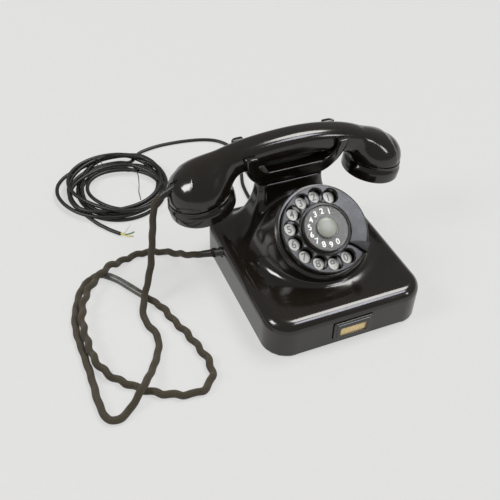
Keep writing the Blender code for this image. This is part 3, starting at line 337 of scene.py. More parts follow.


# the darkest colour is painted shade between the threads, the lightest is painted highlight on them
cotton_braid = braid_material("brown_cotton_braid", "#0D0B07", "#292317", "#54492F")
print("braid bundles", BUNDLE, "mm wide")


# %% [markdown]
# ## Tubes that follow a route
# A cord is a tube swept along a smooth curve. The route's own points are few, so a Catmull-Rom curve
# first fills in points at an even spacing. The frame of the tube is carried from point to point
# without twist, which keeps the braid from spinning.

# %% Tube helper
def smooth_route(points, spacing):
    """Points at an even spacing along a smooth curve through the route's own points."""
    knots = np.array(points, dtype=float)
    padded = np.vstack([2 * knots[0] - knots[1], knots, 2 * knots[-1] - knots[-2]])
    share = np.linspace(0, 1, 24, endpoint=False)[:, None]
    fine = []
    for before, start, end, after in zip(padded, padded[1:], padded[2:], padded[3:]):
        fine.append(0.5 * (2 * start + (end - before) * share
                           + (2 * before - 5 * start + 4 * end - after) * share ** 2
                           + (3 * start - before - 3 * end + after) * share ** 3))
    fine = np.vstack([*fine, knots[-1:]])
    travelled = distance_along(fine)
    stations = np.linspace(0, travelled[-1], max(2, int(travelled[-1] / spacing)) + 1)
    return np.stack([np.interp(stations, travelled, fine[:, axis]) for axis in range(3)], axis=1)


def route_length(points):
    return float(np.linalg.norm(np.diff(points, axis=0), axis=1).sum())


def distance_along(points):
    return np.concatenate([[0], np.cumsum(np.linalg.norm(np.diff(points, axis=0), axis=1))])


def carried_frames(points):
    """A tangent and two square directions at each point, carried along without twist."""
    tangents = np.gradient(points, axis=0)
    tangents /= np.linalg.norm(tangents, axis=1)[:, None]
    side = np.cross(tangents[0], [0.13, 0.21, 0.97])
    sides = []
    for tangent in tangents:
        side = side - tangent * side.dot(tangent)
        side /= np.linalg.norm(side)
        sides.append(side)
    sides = np.array(sides)
    return tangents, sides, np.cross(tangents, sides)


def add_piece(name, mesh, material):
    """Put a finished mesh into the scene."""
    mesh.materials.append(material)
    piece = bpy.data.objects.new(name, mesh)
    bpy.context.collection.objects.link(piece)
    return piece


def tube(name, points, radii, material, around=20):
    """A closed tube in metres from points in millimetres, with its own coordinates in millimetres."""
    _, sides, ups = carried_frames(points)
    radii = np.broadcast_to(np.asarray(radii, dtype=float), (len(points),))
    angles = np.linspace(0, math.tau, around, endpoint=False)
    rings = (points[:, None] + radii[:, None, None] * (np.cos(angles)[None, :, None] * sides[:, None]
                                                       + np.sin(angles)[None, :, None] * ups[:, None]))
    count = len(points)
    vertices = np.vstack([rings.reshape(-1, 3), points[:1], points[-1:]]) * MM
    faces, corners = [], []
    travelled = distance_along(points)
    turn = math.tau * float(radii.mean())
    for ring in range(count - 1):
        for step in range(around):
            after = (step + 1) % around
            faces.append((ring * around + step, ring * around + after, (ring + 1) * around + after,
                          (ring + 1) * around + step))
            low, high = step / around * turn, (step + 1) / around * turn
            corners += [(travelled[ring], low), (travelled[ring], high), (travelled[ring + 1], high),
                        (travelled[ring + 1], low)]
    for step in range(around):
        after = (step + 1) % around
        faces.append((after, step, count * around))
        faces.append(((count - 1) * around + step, (count - 1) * around + after, count * around + 1))
        corners += [(0, 0)] * 6
    mesh = bpy.data.meshes.new(name)
    mesh.from_pydata(vertices.tolist(), [], faces)
    layer = mesh.uv_layers.new(name="cord_mm")
    layer.data.foreach_set("uv", np.array(corners, dtype=np.float32).ravel())
    mesh.shade_smooth()
    return add_piece(name, mesh, material)


print("tube helper ready")

# %% [markdown]
# ## Handset cord
# The cord leaves the mouthpiece end of the handset through a rubber boot, hangs to the table, runs
# forward in a long narrow loop and comes back on itself. There a grey sleeve joins it to its second
# half, which makes a wide loop and climbs to a gland in the housing's left wall. That half was once
# twisted hard, so it kept a wave of about 17 mm. The wave is added to the route before the tube is
# made: a small circle drawn around the centre line as it advances.

# %% Handset cord routes
UPPER_ROUTE = [
    (-119.0, 55.9, 92.9), (-123.2, 56.5, 90.2), (-125.6, 56.8, 88.5), (-128.6, 57.0, 83.6), (-130.6, 56, 77),
    (-133.5, 52, 66), (-136, 47, 56), (-139, 42, 45), (-143, 35, 32), (-149, 28, 19), (-155, 20, 9.8),
    (-160, 8, 4.4), (-160.5, -5, 3.3), (-157, -17, 3.2), (-157, -29, 3.2), (-162, -42, 3.2), (-171, -58, 5.6),
    (-181, -73, 10.3), (-190, -82, 8.2), (-199, -89, 4.0), (-208, -94, 3.2), (-216, -93, 3.2),
    (-219.5, -84, 3.2), (-220.5, -69, 3.2), (-220, -51, 3.2), (-220, -34, 3.2), (-220.5, -13, 3.2),
    (-220.5, 7, 3.2), (-218.5, 23, 3.2), (-213, 40, 3.2), (-207, 54, 3.2), (-199, 64, 3.2), (-191, 69.5, 3.2),
    (-186, 70.8, 3.2), (-183, 70.3, 3.2), (-180.5, 68.7, 3.3)]
SLEEVE_ROUTE = [(-180.5, 68.7, 3.4), (-178, 66.6, 3.4), (-174.5, 63, 3.4), (-169.5, 56.5, 3.4),
                (-163.5, 46.5, 3.4), (-157.5, 36, 3.4), (-152.2, 27, 3.4)]
LOWER_ROUTE = [
    (-152.2, 27, 3.3), (-149, 21.5, 3.2), (-144, 13, 3.2), (-140, 1, 3.2), (-137, -12, 3.2),
    (-132.5, -25, 3.2), (-129, -39, 3.2), (-126, -53, 3.2), (-124, -66, 3.2), (-126, -79, 3.2),
    (-133, -89, 3.2), (-143, -93, 3.2), (-154, -91, 3.2), (-166, -86, 3.2), (-178, -78.5, 3.2),
    (-186, -72, 3.2), (-193, -64.5, 3.2), (-202, -55, 3.8), (-209, -45, 6.2), (-213.5, -32, 8.2), (-214.5, -17, 8.5),
    (-214.5, 0, 8.5), (-213, 16, 8.6), (-208.5, 32, 8.7), (-201.5, 46, 8.8), (-194, 56, 9.2),
    (-185, 64, 10.3), (-175, 71.5, 10.3), (-164, 79, 5.4), (-152, 84, 3.3), (-140, 86, 3.2),
    (-129, 84.5, 3.2), (-118, 79.5, 3.4), (-109, 71.5, 6.0), (-101.5, 58.5, 12.5), (-95.5, 51.2, 16.6),
    (-92.6, 48.6, 18.1), (-86.0, 44.1, 21.0)]
WAVE_LENGTH = 17.0
WAVE_SIZE = 0.9


def waved(points, size):
    """Draw the points out into a helix around their own line, held down to the table."""
    _, sides, ups = carried_frames(points)
    travelled = distance_along(points)
    turn = travelled * math.tau / WAVE_LENGTH + 0.8 * np.sin(travelled / 31.0)
    out = points + size[:, None] * (np.cos(turn)[:, None] * sides + np.sin(turn)[:, None] * ups)
    out[:, 2] = np.maximum(out[:, 2], HANDSET_CORD / 2 + 0.05)
    return out


upper = smooth_route(UPPER_ROUTE, 1.0)
along = np.linspace(0, 1, len(upper))
upper = waved(upper, 0.28 * np.clip(along * 12, 0, 1) * np.clip((1 - along) * 30, 0, 1))
lower = smooth_route(LOWER_ROUTE, 1.0)
along = np.linspace(0, 1, len(lower))
lower = waved(lower, WAVE_SIZE * np.clip(along * 20, 0, 1) * np.clip((1 - along) * 10, 0, 1))
handset_cord_path = np.vstack([upper, smooth_route(SLEEVE_ROUTE, 1.0)[1:-1], lower])
print("handset cord", round(route_length(handset_cord_path)), "mm long")

# %% Handset cord pieces
travelled = np.arange(len(handset_cord_path))
braid_radius = HANDSET_CORD / 2 + 0.06 * np.sin(travelled / 5.3) + 0.05 * np.sin(travelled / 2.1)
handset_cord = tube("handset_cord", handset_cord_path, braid_radius, cotton_braid, 24)
sleeve_path = smooth_route(SLEEVE_ROUTE, 1.0)
sleeve_radius = 3.42 + 0.05 * np.sin(np.arange(len(sleeve_path)) / 4.0)
sleeve_radius[[0, -1]] = 3.25
cord_sleeve = tube("joint_sleeve", sleeve_path, sleeve_radius, sleeve_plastic, 24)
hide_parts("handset_cord_upper", "handset_cord_lower")
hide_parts("cord_sleeve")
print("cord has", len(handset_cord.data.polygons), "faces")


# %% [markdown]
# ## Ties and frayed threads
# A few turns of reddish thread whip the braid beside the gland, and the braid has frayed where it
# was bent most. Loose threads are cheap to make as thin tubes on short bent routes, with a fixed
# random seed so that every run gives the same ones.

# %% Frayed threads
thread_cotton = plain_finish("reddish_thread", "#1E120C", "#38241A", 0.8, 0.4, 0.02)


def joined(name, pieces):
    """Join several pieces into one object."""
    bpy.ops.object.select_all(action="DESELECT")
    for piece in pieces:
        piece.select_set(True)
    bpy.context.view_layer.objects.active = pieces[0]
    bpy.ops.object.join()
    pieces[0].name = name
    pieces[0].data.name = name
    bpy.ops.object.select_all(action="DESELECT")
    return pieces[0]


def frayed(name, around, count, seed, reach=5.0):
    """Loose threads that lean out from one place on the cord."""
    dice = random.Random(seed)
    threads = []
    for _ in range(count):
        start = np.array(around) + [dice.uniform(-3, 3), dice.uniform(-3, 3), dice.uniform(-1, 0.6)]
        lean = np.array([dice.uniform(-1, 1), dice.uniform(-1, 1), dice.uniform(-0.2, 0.6)])
        lean /= np.linalg.norm(lean)
        middle = start + lean * reach * 0.5 + [0, 0, 0.5]
        end = start + lean * reach * dice.uniform(0.7, 1.2)
        end[2] = max(end[2], 0.3)
        threads.append(tube(name, smooth_route([start, middle, end], 0.6), 0.12, cotton_braid, 5))
    return joined(name, threads)


frays = joined("frayed_threads", [
    frayed("fray_left", (-199, 64, 5.6), 7, 3), frayed("fray_mid", (-213, 36, 6.0), 4, 5),
    frayed("fray_low", (-203, -53, 6.0), 5, 8)])
gland_along = Vector((-0.774, 0.536, -0.337))
spoke = gland_along.orthogonal().normalized() * 4.25
whipping_turns = []
for turn in range(4):
    centre = Vector((-79.0, 39.3, 24.2)) + gland_along * (turn * 0.8)
    ring = [centre + Matrix.Rotation(step / 24 * math.tau, 3, gland_along) @ spoke for step in range(25)]
    whipping_turns.append(tube("whipping", np.array(ring), 0.32, thread_cotton, 8))
whipping = joined("thread_whipping", whipping_turns)
print("threads:", len(frays.data.polygons), "faces")

# %% [markdown]
# ## Line cord
# A second, thinner cord in black rubber leaves the back, curls round to the left and ends in a loose
# coil of eight turns held by two bits of wire. The turns lie in up to four layers. Each turn has its
# own radius and its own slightly shifted centre, so they cross as real turns do, and each climbs onto
# the layer above along a short stretch. The end is bare: three coloured conductors.

# %% Line cord route
LINE_CORD = 4.0
LINE_RADIUS = LINE_CORD / 2
COIL_CENTRE = np.array([-133.0, 196.0])
LEAD_ROUTE = [
    (-8, 95, 13.4), (-8, 100, 12.9), (-8, 104.2, 12.4), (-8, 107.4, 11.8), (-8, 111.5, 9.4),
    (-7.4, 117.5, 5.6), (-6.6, 124, 2.9), (-6, 131, 2.1), (-5, 145, 2.1), (-3, 158, 2.1), (1.5, 172, 2.1),
    (6.5, 187, 2.1), (10.5, 202, 2.1), (12, 216, 2.1), (11, 229, 2.1), (6, 241, 2.1), (-3, 250.5, 2.1),
    (-17, 257, 2.1), (-36, 261, 2.1), (-55, 262.5, 2.1), (-70, 262, 2.1), (-83, 259.5, 2.1), (-94, 255, 2.1),
    (-104, 249.5, 2.1)]
TAIL_ROUTE = [(-163, 139.5, 2.1), (-159, 133.5, 2.1), (-154.5, 128, 2.1), (-150.5, 123.5, 2.1)]
TURNS = [(52, 2.1, 1, 0), (45.5, 2.1, 1, 2), (39.5, 2.1, -2, 1), (55, 6.0, -3, 3), (37, 6.2, 5, -5),
         (49, 6.3, 6, 4), (43, 9.6, -6, -5), (51.5, 12.2, 1, 2)]


def coil_points():
    """Points of the loose coil, from where the lead meets it to where the tail leaves."""
    start, points = math.radians(62), []
    per_turn = 26
    for turn, (radius, height, shift_x, shift_y) in enumerate(TURNS):
        after = TURNS[min(turn + 1, len(TURNS) - 1)]
        for step in range(per_turn):
            share = step / per_turn
            ease = max(0.0, share * 3 - 2) ** 2 * (3 - 2 * max(0.0, share * 3 - 2))
            angle = start + (turn + share) * math.tau
            reach = radius + (after[0] - radius) * ease + 1.3 * math.sin(3 * angle + 1.7 * turn)
            reach += (4.0 if turn > 4 else 2.4 if turn > 2 else 0.0) * math.sin(2 * angle + 2.3 * turn)
            if turn == 3:
                reach += 6.0 * math.exp(-((share - 0.26) / 0.085) ** 2)
            points.append((COIL_CENTRE[0] + shift_x + (after[2] - shift_x) * ease + reach * math.cos(angle),
                           COIL_CENTRE[1] + shift_y + (after[3] - shift_y) * ease + reach * math.sin(angle),
                           height + (after[1] - height) * ease))
    return points


coil = coil_points()
turn_start = math.radians(62 + 360 * len(TURNS))
sweep = [(COIL_CENTRE[0] + 53 * math.cos(turn_start + a), COIL_CENTRE[1] + 53 * math.sin(turn_start + a), z)
         for a, z in ((0.35, 11.6), (0.7, 10.8), (1.05, 9.8), (1.4, 8.8), (1.75, 7.6), (2.1, 6.0),
                      (2.4, 4.2))]
line_path = smooth_route(LEAD_ROUTE[:-1] + coil + sweep + [(-169.5, 149.5, 2.6)] + TAIL_ROUTE, 1.6)
print("line cord", round(route_length(line_path)), "mm long")

# %% Line cord pieces
line_cord = tube("line_cord", line_path, LINE_RADIUS, rubber, 14)
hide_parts("line_cord_lead", "line_cord_coil", "line_cord_tail")
CONDUCTORS = {
    "green": ("#1F5A2C", "#2F7A3C", [
        (-151.5, 124.8, 2.1), (-148, 121.4, 2.0), (-142, 120.8, 1.5), (-136.5, 122.6, 1.0)]),
    "yellow": ("#B7A62A", "#D6C64A", [
        (-151, 124.6, 2.5), (-148.6, 120.6, 3.0), (-144.5, 117.4, 2.2), (-139, 116.5, 1.0)]),
    "white": ("#BDBBB2", "#E2E0D8", [
        (-151, 124.4, 1.8), (-146.6, 123.4, 2.6), (-141.5, 127.4, 4.0), (-137.6, 132.4, 4.4)])}
conductors = []
for colour, (dark, light, route) in CONDUCTORS.items():
    finish = plain_finish(f"{colour}_cotton_lapping", dark, light, 0.6, 0.6, 0.03)
    conductors.append(tube(f"{colour}_conductor", smooth_route(route, 0.8), 0.62, finish, 10))
bare_ends = joined("bare_conductors", conductors)
tie_routes = [
    [(-168, 233, 0.8), (-163, 240, 2.2), (-156, 244.5, 5.0), (-149, 247.8, 9.8), (-144, 244.8, 13.2),
     (-141.5, 237, 13.6), (-139.8, 229, 11.0), (-143, 226.5, 4.0), (-146.5, 231, 13.2), (-145.5, 240, 13.4),
     (-147, 249.5, 9.0), (-150.5, 254.5, 2.0)],
    [(-113, 212, 13.4), (-109, 204, 12.6), (-110.5, 195, 4.0), (-113.5, 186, 1.2), (-114.5, 178, 1.0),
     (-115.5, 172, 0.8)]]
coil_ties = joined("coil_ties", [tube("tie", smooth_route(route, 1.0), 0.45, rubber, 8)
                                 for route in tie_routes])
for piece in (line_cord, bare_ends, coil_ties, whipping):
    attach(piece, "base")
print("line cord has", len(line_cord.data.polygons), "faces")

# %% [markdown]
# ## Moulded shapes from fields
# A phenolic moulding has no seams between its surfaces: the dial's skirt, the neck and the deck run
# into each other through fillets. Polygon modelling makes such joins slowly. Here each shape is a
# field instead, a function that is negative inside and close to the distance from the surface, and a
# fillet is one formula that joins two fields. The surface is found on a grid of small cells, one
# vertex to each cell that it crosses. Each vertex is then moved onto the field's exact zero, and the
# field's own slope becomes the shading normal, so the gloss has no facets.

# %% Field helpers
def fillet_union(first, second, radius):
    """Both shapes, with a concave fillet of this radius where they meet."""
    near = np.hypot(np.maximum(radius - first, 0), np.maximum(radius - second, 0))
    return np.maximum(radius, np.minimum(first, second)) - near


def round_common(first, second, radius):
    """What both shapes share, with a rounded edge of this radius."""
    return -fillet_union(-first, -second, radius)


def rectangle_distance(x, y, half_x, half_y, corner):
    """Distance to a rectangle with round corners, in its own plane."""
    out_x = np.abs(x) - half_x + corner
    out_y = np.abs(y) - half_y + corner
    beyond = np.hypot(np.maximum(out_x, 0), np.maximum(out_y, 0))
    return np.minimum(np.maximum(out_x, out_y), 0) + beyond - corner


def slope(field, points, step=0.04):
    """The direction in which the field grows fastest."""
    moves = np.eye(3) * step
    return np.stack([(field(points + move) - field(points - move)) / (2 * step) for move in moves], axis=1)


def crossing_points(values, axes):
    """One point to each cell that the surface crosses: the mean of the crossings on its edges."""
    shape = tuple(size - 1 for size in values.shape)
    total, count = np.zeros((*shape, 3)), np.zeros(shape)
    for axis in range(3):
        first = np.take(values, range(values.shape[axis] - 1), axis)
        second = np.take(values, range(1, values.shape[axis]), axis)
        crosses = (first < 0) != (second < 0)
        share = np.where(crosses, first / np.where(crosses, first - second, 1), 0)
        grids = np.meshgrid(*(line[:-1] if index == axis else line for index, line in enumerate(axes)),
                            indexing="ij")
        point = np.stack(grids, -1)
        point[..., axis] += share * (axes[axis][1] - axes[axis][0])
        others = [index for index in range(3) if index != axis]
        for move in ((0, 0), (0, 1), (1, 0), (1, 1)):
            part = [slice(None)] * 3
            for index, shift in zip(others, move):
                part[index] = slice(shift, shift + shape[index])
            part = tuple(part)
            total += point[part] * crosses[part][..., None]
            count += crosses[part]
    return total, count


def surface_faces(values, numbers):
    """A four-sided face for each grid edge that the surface crosses."""
    faces = []
    for axis in range(3):
        others = [(axis + 1) % 3, (axis + 2) % 3]
        part = [slice(None)] * 3
        part[axis] = slice(0, values.shape[axis] - 1)
        low = values[tuple(part)] < 0
        part[axis] = slice(1, None)
        high = values[tuple(part)] < 0
        where = np.argwhere(low != high)
        keep = np.all([(where[:, other] > 0) & (where[:, other] < values.shape[other] - 1)
                       for other in others], axis=0)
        where = where[keep]
        flip = low[tuple(where.T)]
        ring = []
        for move_a, move_b in ((-1, -1), (0, -1), (0, 0), (-1, 0)):
            cell = where.copy()
            cell[:, others[0]] += move_a
            cell[:, others[1]] += move_b
            ring.append(numbers[tuple(cell.T)])
        quads = np.stack(ring, axis=1)
        quads[~flip] = quads[~flip][:, ::-1]
        faces.append(quads)
    return np.vstack(faces)


def moulded(name, field, low, high, cell, material, place=None):
    """Turn a field in millimetres into an object: cells, exact vertices, exact normals."""
    axes = [np.arange(start, end + cell, cell) + 0.013 for start, end in zip(low, high)]
    grid = np.stack(np.meshgrid(*axes, indexing="ij"), -1)
    values = field(grid.reshape(-1, 3)).reshape(grid.shape[:3])
    total, count = crossing_points(values, axes)
    used = count > 0
    numbers = np.cumsum(used.ravel()).reshape(used.shape) - 1
    points = total[used] / count[used][:, None]
    for _ in range(5):
        gradient = slope(field, points)
        steep = np.maximum((gradient ** 2).sum(1), 0.05)
        step = (field(points) / steep)[:, None] * gradient
        size = np.linalg.norm(step, axis=1)[:, None]
        points = points - step * np.minimum(1, 0.35 * cell / np.maximum(size, 1e-9))
    normals = slope(field, points)
    normals /= np.maximum(np.linalg.norm(normals, axis=1), 1e-9)[:, None]
    mesh = bpy.data.meshes.new(name)
    mesh.from_pydata((points * MM).tolist(), [], surface_faces(values, numbers).tolist())
    mesh.shade_smooth()
    if place is not None:
        mesh.transform(place)
        turn = np.array(place.to_3x3())
        normals = normals @ turn.T
    mesh.normals_split_custom_set_from_vertices(normals.tolist())
    return add_piece(name, mesh, material)


print("field helpers ready")

# %% [markdown]
# ## Housing
# One moulding makes the box, the round skirt under the dial and the neck under the cradle. The skirt
# is a slanted cylinder that grows like a quarter ellipse towards the deck, and the neck does the same
# with a rounded rectangle. Inside it is hollow from below, with a well for the dial and slots for the
# cradle's two stems.

# %% Housing measures
WIDTH, DEPTH, DECK, RIM = 150.0, 171.0, 38.0, 1.6
CORNER, EDGE, WALL = 23.0, 10.0, 3.0
TILT = math.radians(36.15)
DIAL_CENTRE = np.array([0.0, -23.5, 78.9])
DIAL_NORMAL = np.array([0.0, -math.sin(TILT), math.cos(TILT)])
DIAL_UP = np.array([0.0, math.cos(TILT), math.sin(TILT)])
SEAT_HEIGHT, SEAT_RADIUS = -9.0, 43.2
SADDLE_Y, NECK_TOP = 54.0, 85.0
GLAND_START, GLAND_LINE = np.array([-70.0, 33.0, 28.0]), np.array([-0.774, 0.536, -0.337])
SKIRT_SIDE_GROWTH, SKIRT_BACK_GROWTH, SKIRT_FRONT_GROWTH = 64.0 - 42.7, 8.0, 15.0
NECK_FRONT, NECK_BACK, NECK_HALF_WIDTH, NECK_CORNER = 9.6, 10.5, 32.5, 7.5
NECK_FRONT_GROWTH, NECK_BACK_GROWTH, NECK_SIDE_GROWTH, NECK_CORNER_GROWTH = 40.0, 10.0, 33.0, 8.0
SKIRT_FILLET, DECK_FILLET = 9.0, 3.0


def growth(share):
    """How far a wall has spread, along a quarter ellipse."""
    return 1 - np.sqrt(1 - np.clip(share, 0, 0.9995) ** 2)


def skirt_field(p):
    """The slanted cylinder under the dial, which spreads towards the deck."""
    x, y, z = p.T
    seat = DIAL_CENTRE + DIAL_NORMAL * SEAT_HEIGHT
    along_y = y - seat[1] - math.tan(TILT) * (seat[2] - z)
    deep = SEAT_RADIUS / math.cos(TILT)
    cos_a, sin_a = x / SEAT_RADIUS, along_y / deep
    for _ in range(4):
        size = np.maximum(np.hypot(cos_a, sin_a), 1e-6)
        cos_a, sin_a = cos_a / size, sin_a / size
        rim = seat[2] + SEAT_RADIUS * sin_a * math.sin(TILT)
        spread = growth((rim - z) / np.maximum(rim - DECK, 1.0))
        wide = SEAT_RADIUS + SKIRT_SIDE_GROWTH * spread
        long = deep + np.where(sin_a > 0, SKIRT_BACK_GROWTH, SKIRT_FRONT_GROWTH) * spread
        cos_a, sin_a = x / wide, along_y / long
    round_wall = (np.hypot(cos_a, sin_a) - 1) * np.minimum(wide, long)
    return round_common(round_wall, (p - seat) @ DIAL_NORMAL, 1.2)


def neck_field(p):
    """The neck: a rounded rectangle at each height, which spreads towards the deck."""
    x, y, z = p.T
    spread = growth((NECK_TOP - z) / (NECK_TOP - DECK))
    front = SADDLE_Y - NECK_FRONT - NECK_FRONT_GROWTH * spread
    back = SADDLE_Y + NECK_BACK + NECK_BACK_GROWTH * spread
    half_width = NECK_HALF_WIDTH + NECK_SIDE_GROWTH * spread
    wall = rectangle_distance(x, y - (front + back) / 2, half_width, (back - front) / 2,
                              NECK_CORNER + NECK_CORNER_GROWTH * spread)
    return round_common(wall, z - NECK_TOP, 2.0)


def cylinder(p, start, direction, radius):
    """Distance to an endless cylinder, and how far along it each point is."""
    away = p - start
    along = away @ direction
    return np.linalg.norm(away - along[:, None] * direction, axis=1) - radius, along


def housing_field(p):
    x, y, z = p.T
    box = rectangle_distance(x, y, WIDTH / 2, DEPTH / 2, CORNER)
    box = round_common(box, z - DECK, EDGE)
    outside = fillet_union(fillet_union(skirt_field(p), neck_field(p), SKIRT_FILLET), box, DECK_FILLET)
    inner = rectangle_distance(x, y, WIDTH / 2 - WALL, DEPTH / 2 - WALL, CORNER - WALL)
    inner = round_common(inner, z - DECK + WALL, EDGE - WALL)
    well, height = cylinder(p, DIAL_CENTRE, DIAL_NORMAL, 36.0)
    hollow = np.minimum(inner, np.maximum(well, -height - 52))
    slot = np.maximum(rectangle_distance(x, y - 54.3, 26.0, 7.6, 3.0), z - 81.5)
    room = np.maximum(rectangle_distance(x, y - 55.0, 28.0, 10.0, 3.0), z - 52.0)
    hollow = np.minimum(hollow, np.minimum(slot, room))
    for side in (-15.0, 15.0):
        stem = np.hypot(x - side, y - SADDLE_Y) - 4.6
        hollow = np.minimum(hollow, np.maximum(stem, 70 - z))
    handset_hole, along = cylinder(p, GLAND_START, GLAND_LINE, 4.75)
    line_hole, back = cylinder(p, np.array([-8.0, 80.5, 15.0]), np.array([0.0, 0.9942, -0.1081]), 4.0)
    for hole, depth in ((handset_hole, along), (line_hole, back)):
        hollow = np.minimum(hollow, np.maximum(hole, -depth - 3))
    return np.maximum(round_common(outside, -hollow, 0.5), RIM - z)


HOUSING_CELL = 1.5
housing = moulded("housing_moulding", housing_field, (-77, -87, 0), (77, 87, 99), HOUSING_CELL, phenolic)
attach(housing, "base")
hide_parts("housing_shell")
print("housing faces:", len(housing.data.polygons))

# %% [markdown]
# ## Cradle
# The cradle is a separate moulding that slides up and down on two steel stems. Seen from the front
# it opens like a bowl into four horns, and a trough runs across it for the handset's grip. It is the
# common part of three simple fields, less the trough.

# %% Grip line shared by the cradle and the handset
GRIP_LINE = [(-96.0, 84.0), (-92.0, 92.0), (-84.0, 101.5), (-72.0, 109.5), (-56.0, 114.6), (-38.0, 118.0),
             (-16.0, 120.1), (6.0, 120.6), (26.0, 119.2), (46.0, 115.6), (62.0, 110.6), (76.0, 103.2),
             (86.0, 94.0), (92.0, 84.0), (95.0, 76.0)]
grip_curve = smooth_route([(x, 0.0, z) for x, z in GRIP_LINE], 1.0)[:, ::2]
grip_along = np.gradient(grip_curve, axis=0)
grip_along /= np.linalg.norm(grip_along, axis=1)[:, None]


def grip_offsets(p):
    """How far each point is above the grip's own line, square to it."""
    high = np.empty(len(p))
    for start in range(0, len(p), 20000):
        part = p[start:start + 20000, ::2]
        away = part[:, None] - grip_curve[None]
        nearest = (away ** 2).sum(-1).argmin(1)
        tangent = grip_along[nearest]
        offset = away[np.arange(len(part)), nearest]
        along = (offset * tangent).sum(1)
        turned = grip_along[np.clip(nearest + np.sign(along).astype(int), 0, len(grip_curve) - 1)]
        share = np.clip(np.abs(along), 0, 1)[:, None]
        tangent = tangent * (1 - share) + turned * share
        tangent /= np.linalg.norm(tangent, axis=1)[:, None]
        high[start:start + 20000] = tangent[:, 0] * offset[:, 1] - tangent[:, 1] * offset[:, 0]
    return high


def grip_section(high, wide, half_high=12.5, half_wide=13.6):
    """A rounded oblong, a little flat on top and below."""
    power = 2.6
    reach = (np.abs(high / half_high) ** power + np.abs(wide / half_wide) ** power) ** (1 / power)
    return (reach - 1) * half_high


print("grip line", round(route_length(smooth_route([(x, 0.0, z) for x, z in GRIP_LINE], 1.0))), "mm")

# %% Cradle
CRADLE_FOOT, CRADLE_TOP = 85.3, 124.0
HORN_START, HORN_STEEPNESS = 38.5, 9.0


def cradle_field(p):
    x, y, z = p.T
    rise = np.clip((z - CRADLE_FOOT) / (CRADLE_TOP - CRADLE_FOOT), 0, 1)
    half_x = 28.0 + 24.0 * np.sqrt(1 - (1 - rise) ** 1.6)
    half_y = 8.4 + 11.6 * rise ** 0.7
    bowl = rectangle_distance(x, y - SADDLE_Y, half_x, half_y, 6.0)
    body = round_common(bowl, np.maximum(z - CRADLE_TOP, CRADLE_FOOT - z), 1.6)
    out = np.abs(x)
    beam = 102.5 + np.clip((out - 26) / 12.5, 0, 1) ** 1.6 * 12
    beam = beam + np.clip(out - HORN_START, 0, 99) * HORN_STEEPNESS
    notch = (beam - z) / np.where(out > HORN_START, HORN_STEEPNESS, 1.6)
    body = round_common(body, -notch, 1.6)
    trough = grip_section(np.minimum(grip_offsets(p), 0), y - SADDLE_Y, 13.1, 14.3)
    return round_common(body, -trough, 1.2)


def stems_field(p):
    x, y, z = p.T
    left = np.maximum(np.hypot(x + 15, y - SADDLE_Y) - 4.0, 50.0 - z)
    right_stem = np.maximum(np.hypot(x - 15, y - SADDLE_Y) - 4.0, 72.0 - z)
    return np.maximum(np.minimum(left, right_stem), z - CRADLE_FOOT - 2)


cradle = moulded("cradle_moulding", cradle_field, (-55, 30, 83), (55, 78, 127), 1.1, phenolic)
stems = moulded("cradle_stems", stems_field, (-21, 48, 48), (21, 60, 89), 0.9, nickel_steel)
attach(cradle, "cradle")
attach(stems, "cradle")
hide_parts("cradle")
print("cradle faces:", len(cradle.data.polygons))

# %% [markdown]
# ## Handset
# The grip is an oblong section swept along an arch, and each end swells into a dome. Real moulds cut
# the grip and the domes together, so they meet in a wide fillet. The cups below stay separate pieces
# that screw on, with a groove where they meet the dome.

# %% Handset measures
CUP_SEAM = 15.3
CUPS = {"mouth": ((-85.0, 73.0), 12.6, 31.0, 42.0), "ear": ((88.0, 70.5), -10.0, 28.4, 38.0)}


def cup_coordinates(p, cup):
    """Distance from a cup's axis, and height along it."""
    (x, z), lean, _, _ = CUPS[cup]
    axis = np.array([math.sin(math.radians(-lean)), 0.0, math.cos(math.radians(-lean))])
    away = p - np.array([x, SADDLE_Y, z])
    high = away @ axis
    return np.linalg.norm(away - high[:, None] * axis, axis=1), high


def handset_field(p):
    x, y, _ = p.T
    body = np.maximum(grip_section(grip_offsets(p), y - SADDLE_Y), np.abs(x) - 92)
    for cup in CUPS:
        _, _, radius, rise = CUPS[cup]
        dome_radius = radius - 2.3
        out, high = cup_coordinates(p, cup)
        tall = rise - 17.0
        dome = (np.sqrt((out / dome_radius) ** 2 + (np.maximum(high - 17, 0) / tall) ** 2) - 1) * tall
        body = fillet_union(body, dome, 13.0)
    for cup in CUPS:
        _, _, radius, _ = CUPS[cup]
        out, high = cup_coordinates(p, cup)
        near = np.where(out < radius + 16, CUP_SEAM - high, -9.0)
        body = round_common(body, near, 0.8)
        well = np.maximum(out - (radius - 5.3), high - 21)
        body = round_common(body, -well, 0.3)
    boot_hole, along = cylinder(p, np.array([-106.5, 54.0, 101.0]), np.array([-0.833, 0.124, -0.538]), 4.4)
    return round_common(body, -np.maximum(boot_hole, -along - 3), 0.4)


HANDSET_CELL = 1.4
handset = moulded("handset_moulding", handset_field, (-119, 20, 70), (119, 88, 136), HANDSET_CELL, phenolic)
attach(handset, "handset")
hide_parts("handset_handle")
print("handset faces:", len(handset.data.polygons))


# %% [markdown]
# ## Turned pieces
# The cups, the dial's bezel and its rings are round, so each is a profile spun about its axis. A
# profile is a short list of radius and height, with small steps at the corners where the mould or
# the lathe tool left a radius.

# %% Lathe helper
def finish_shape(name, shape, place, material, split):
    """Turn edited geometry into a piece, with edges sharper than the split angle left sharp."""
    shape.transform(place)
    mesh = bpy.data.meshes.new(name)
    shape.to_mesh(mesh)
    shape.free()
    mesh.shade_smooth()
    mesh.set_sharp_from_angle(angle=math.radians(split))
    return add_piece(name, mesh, material)


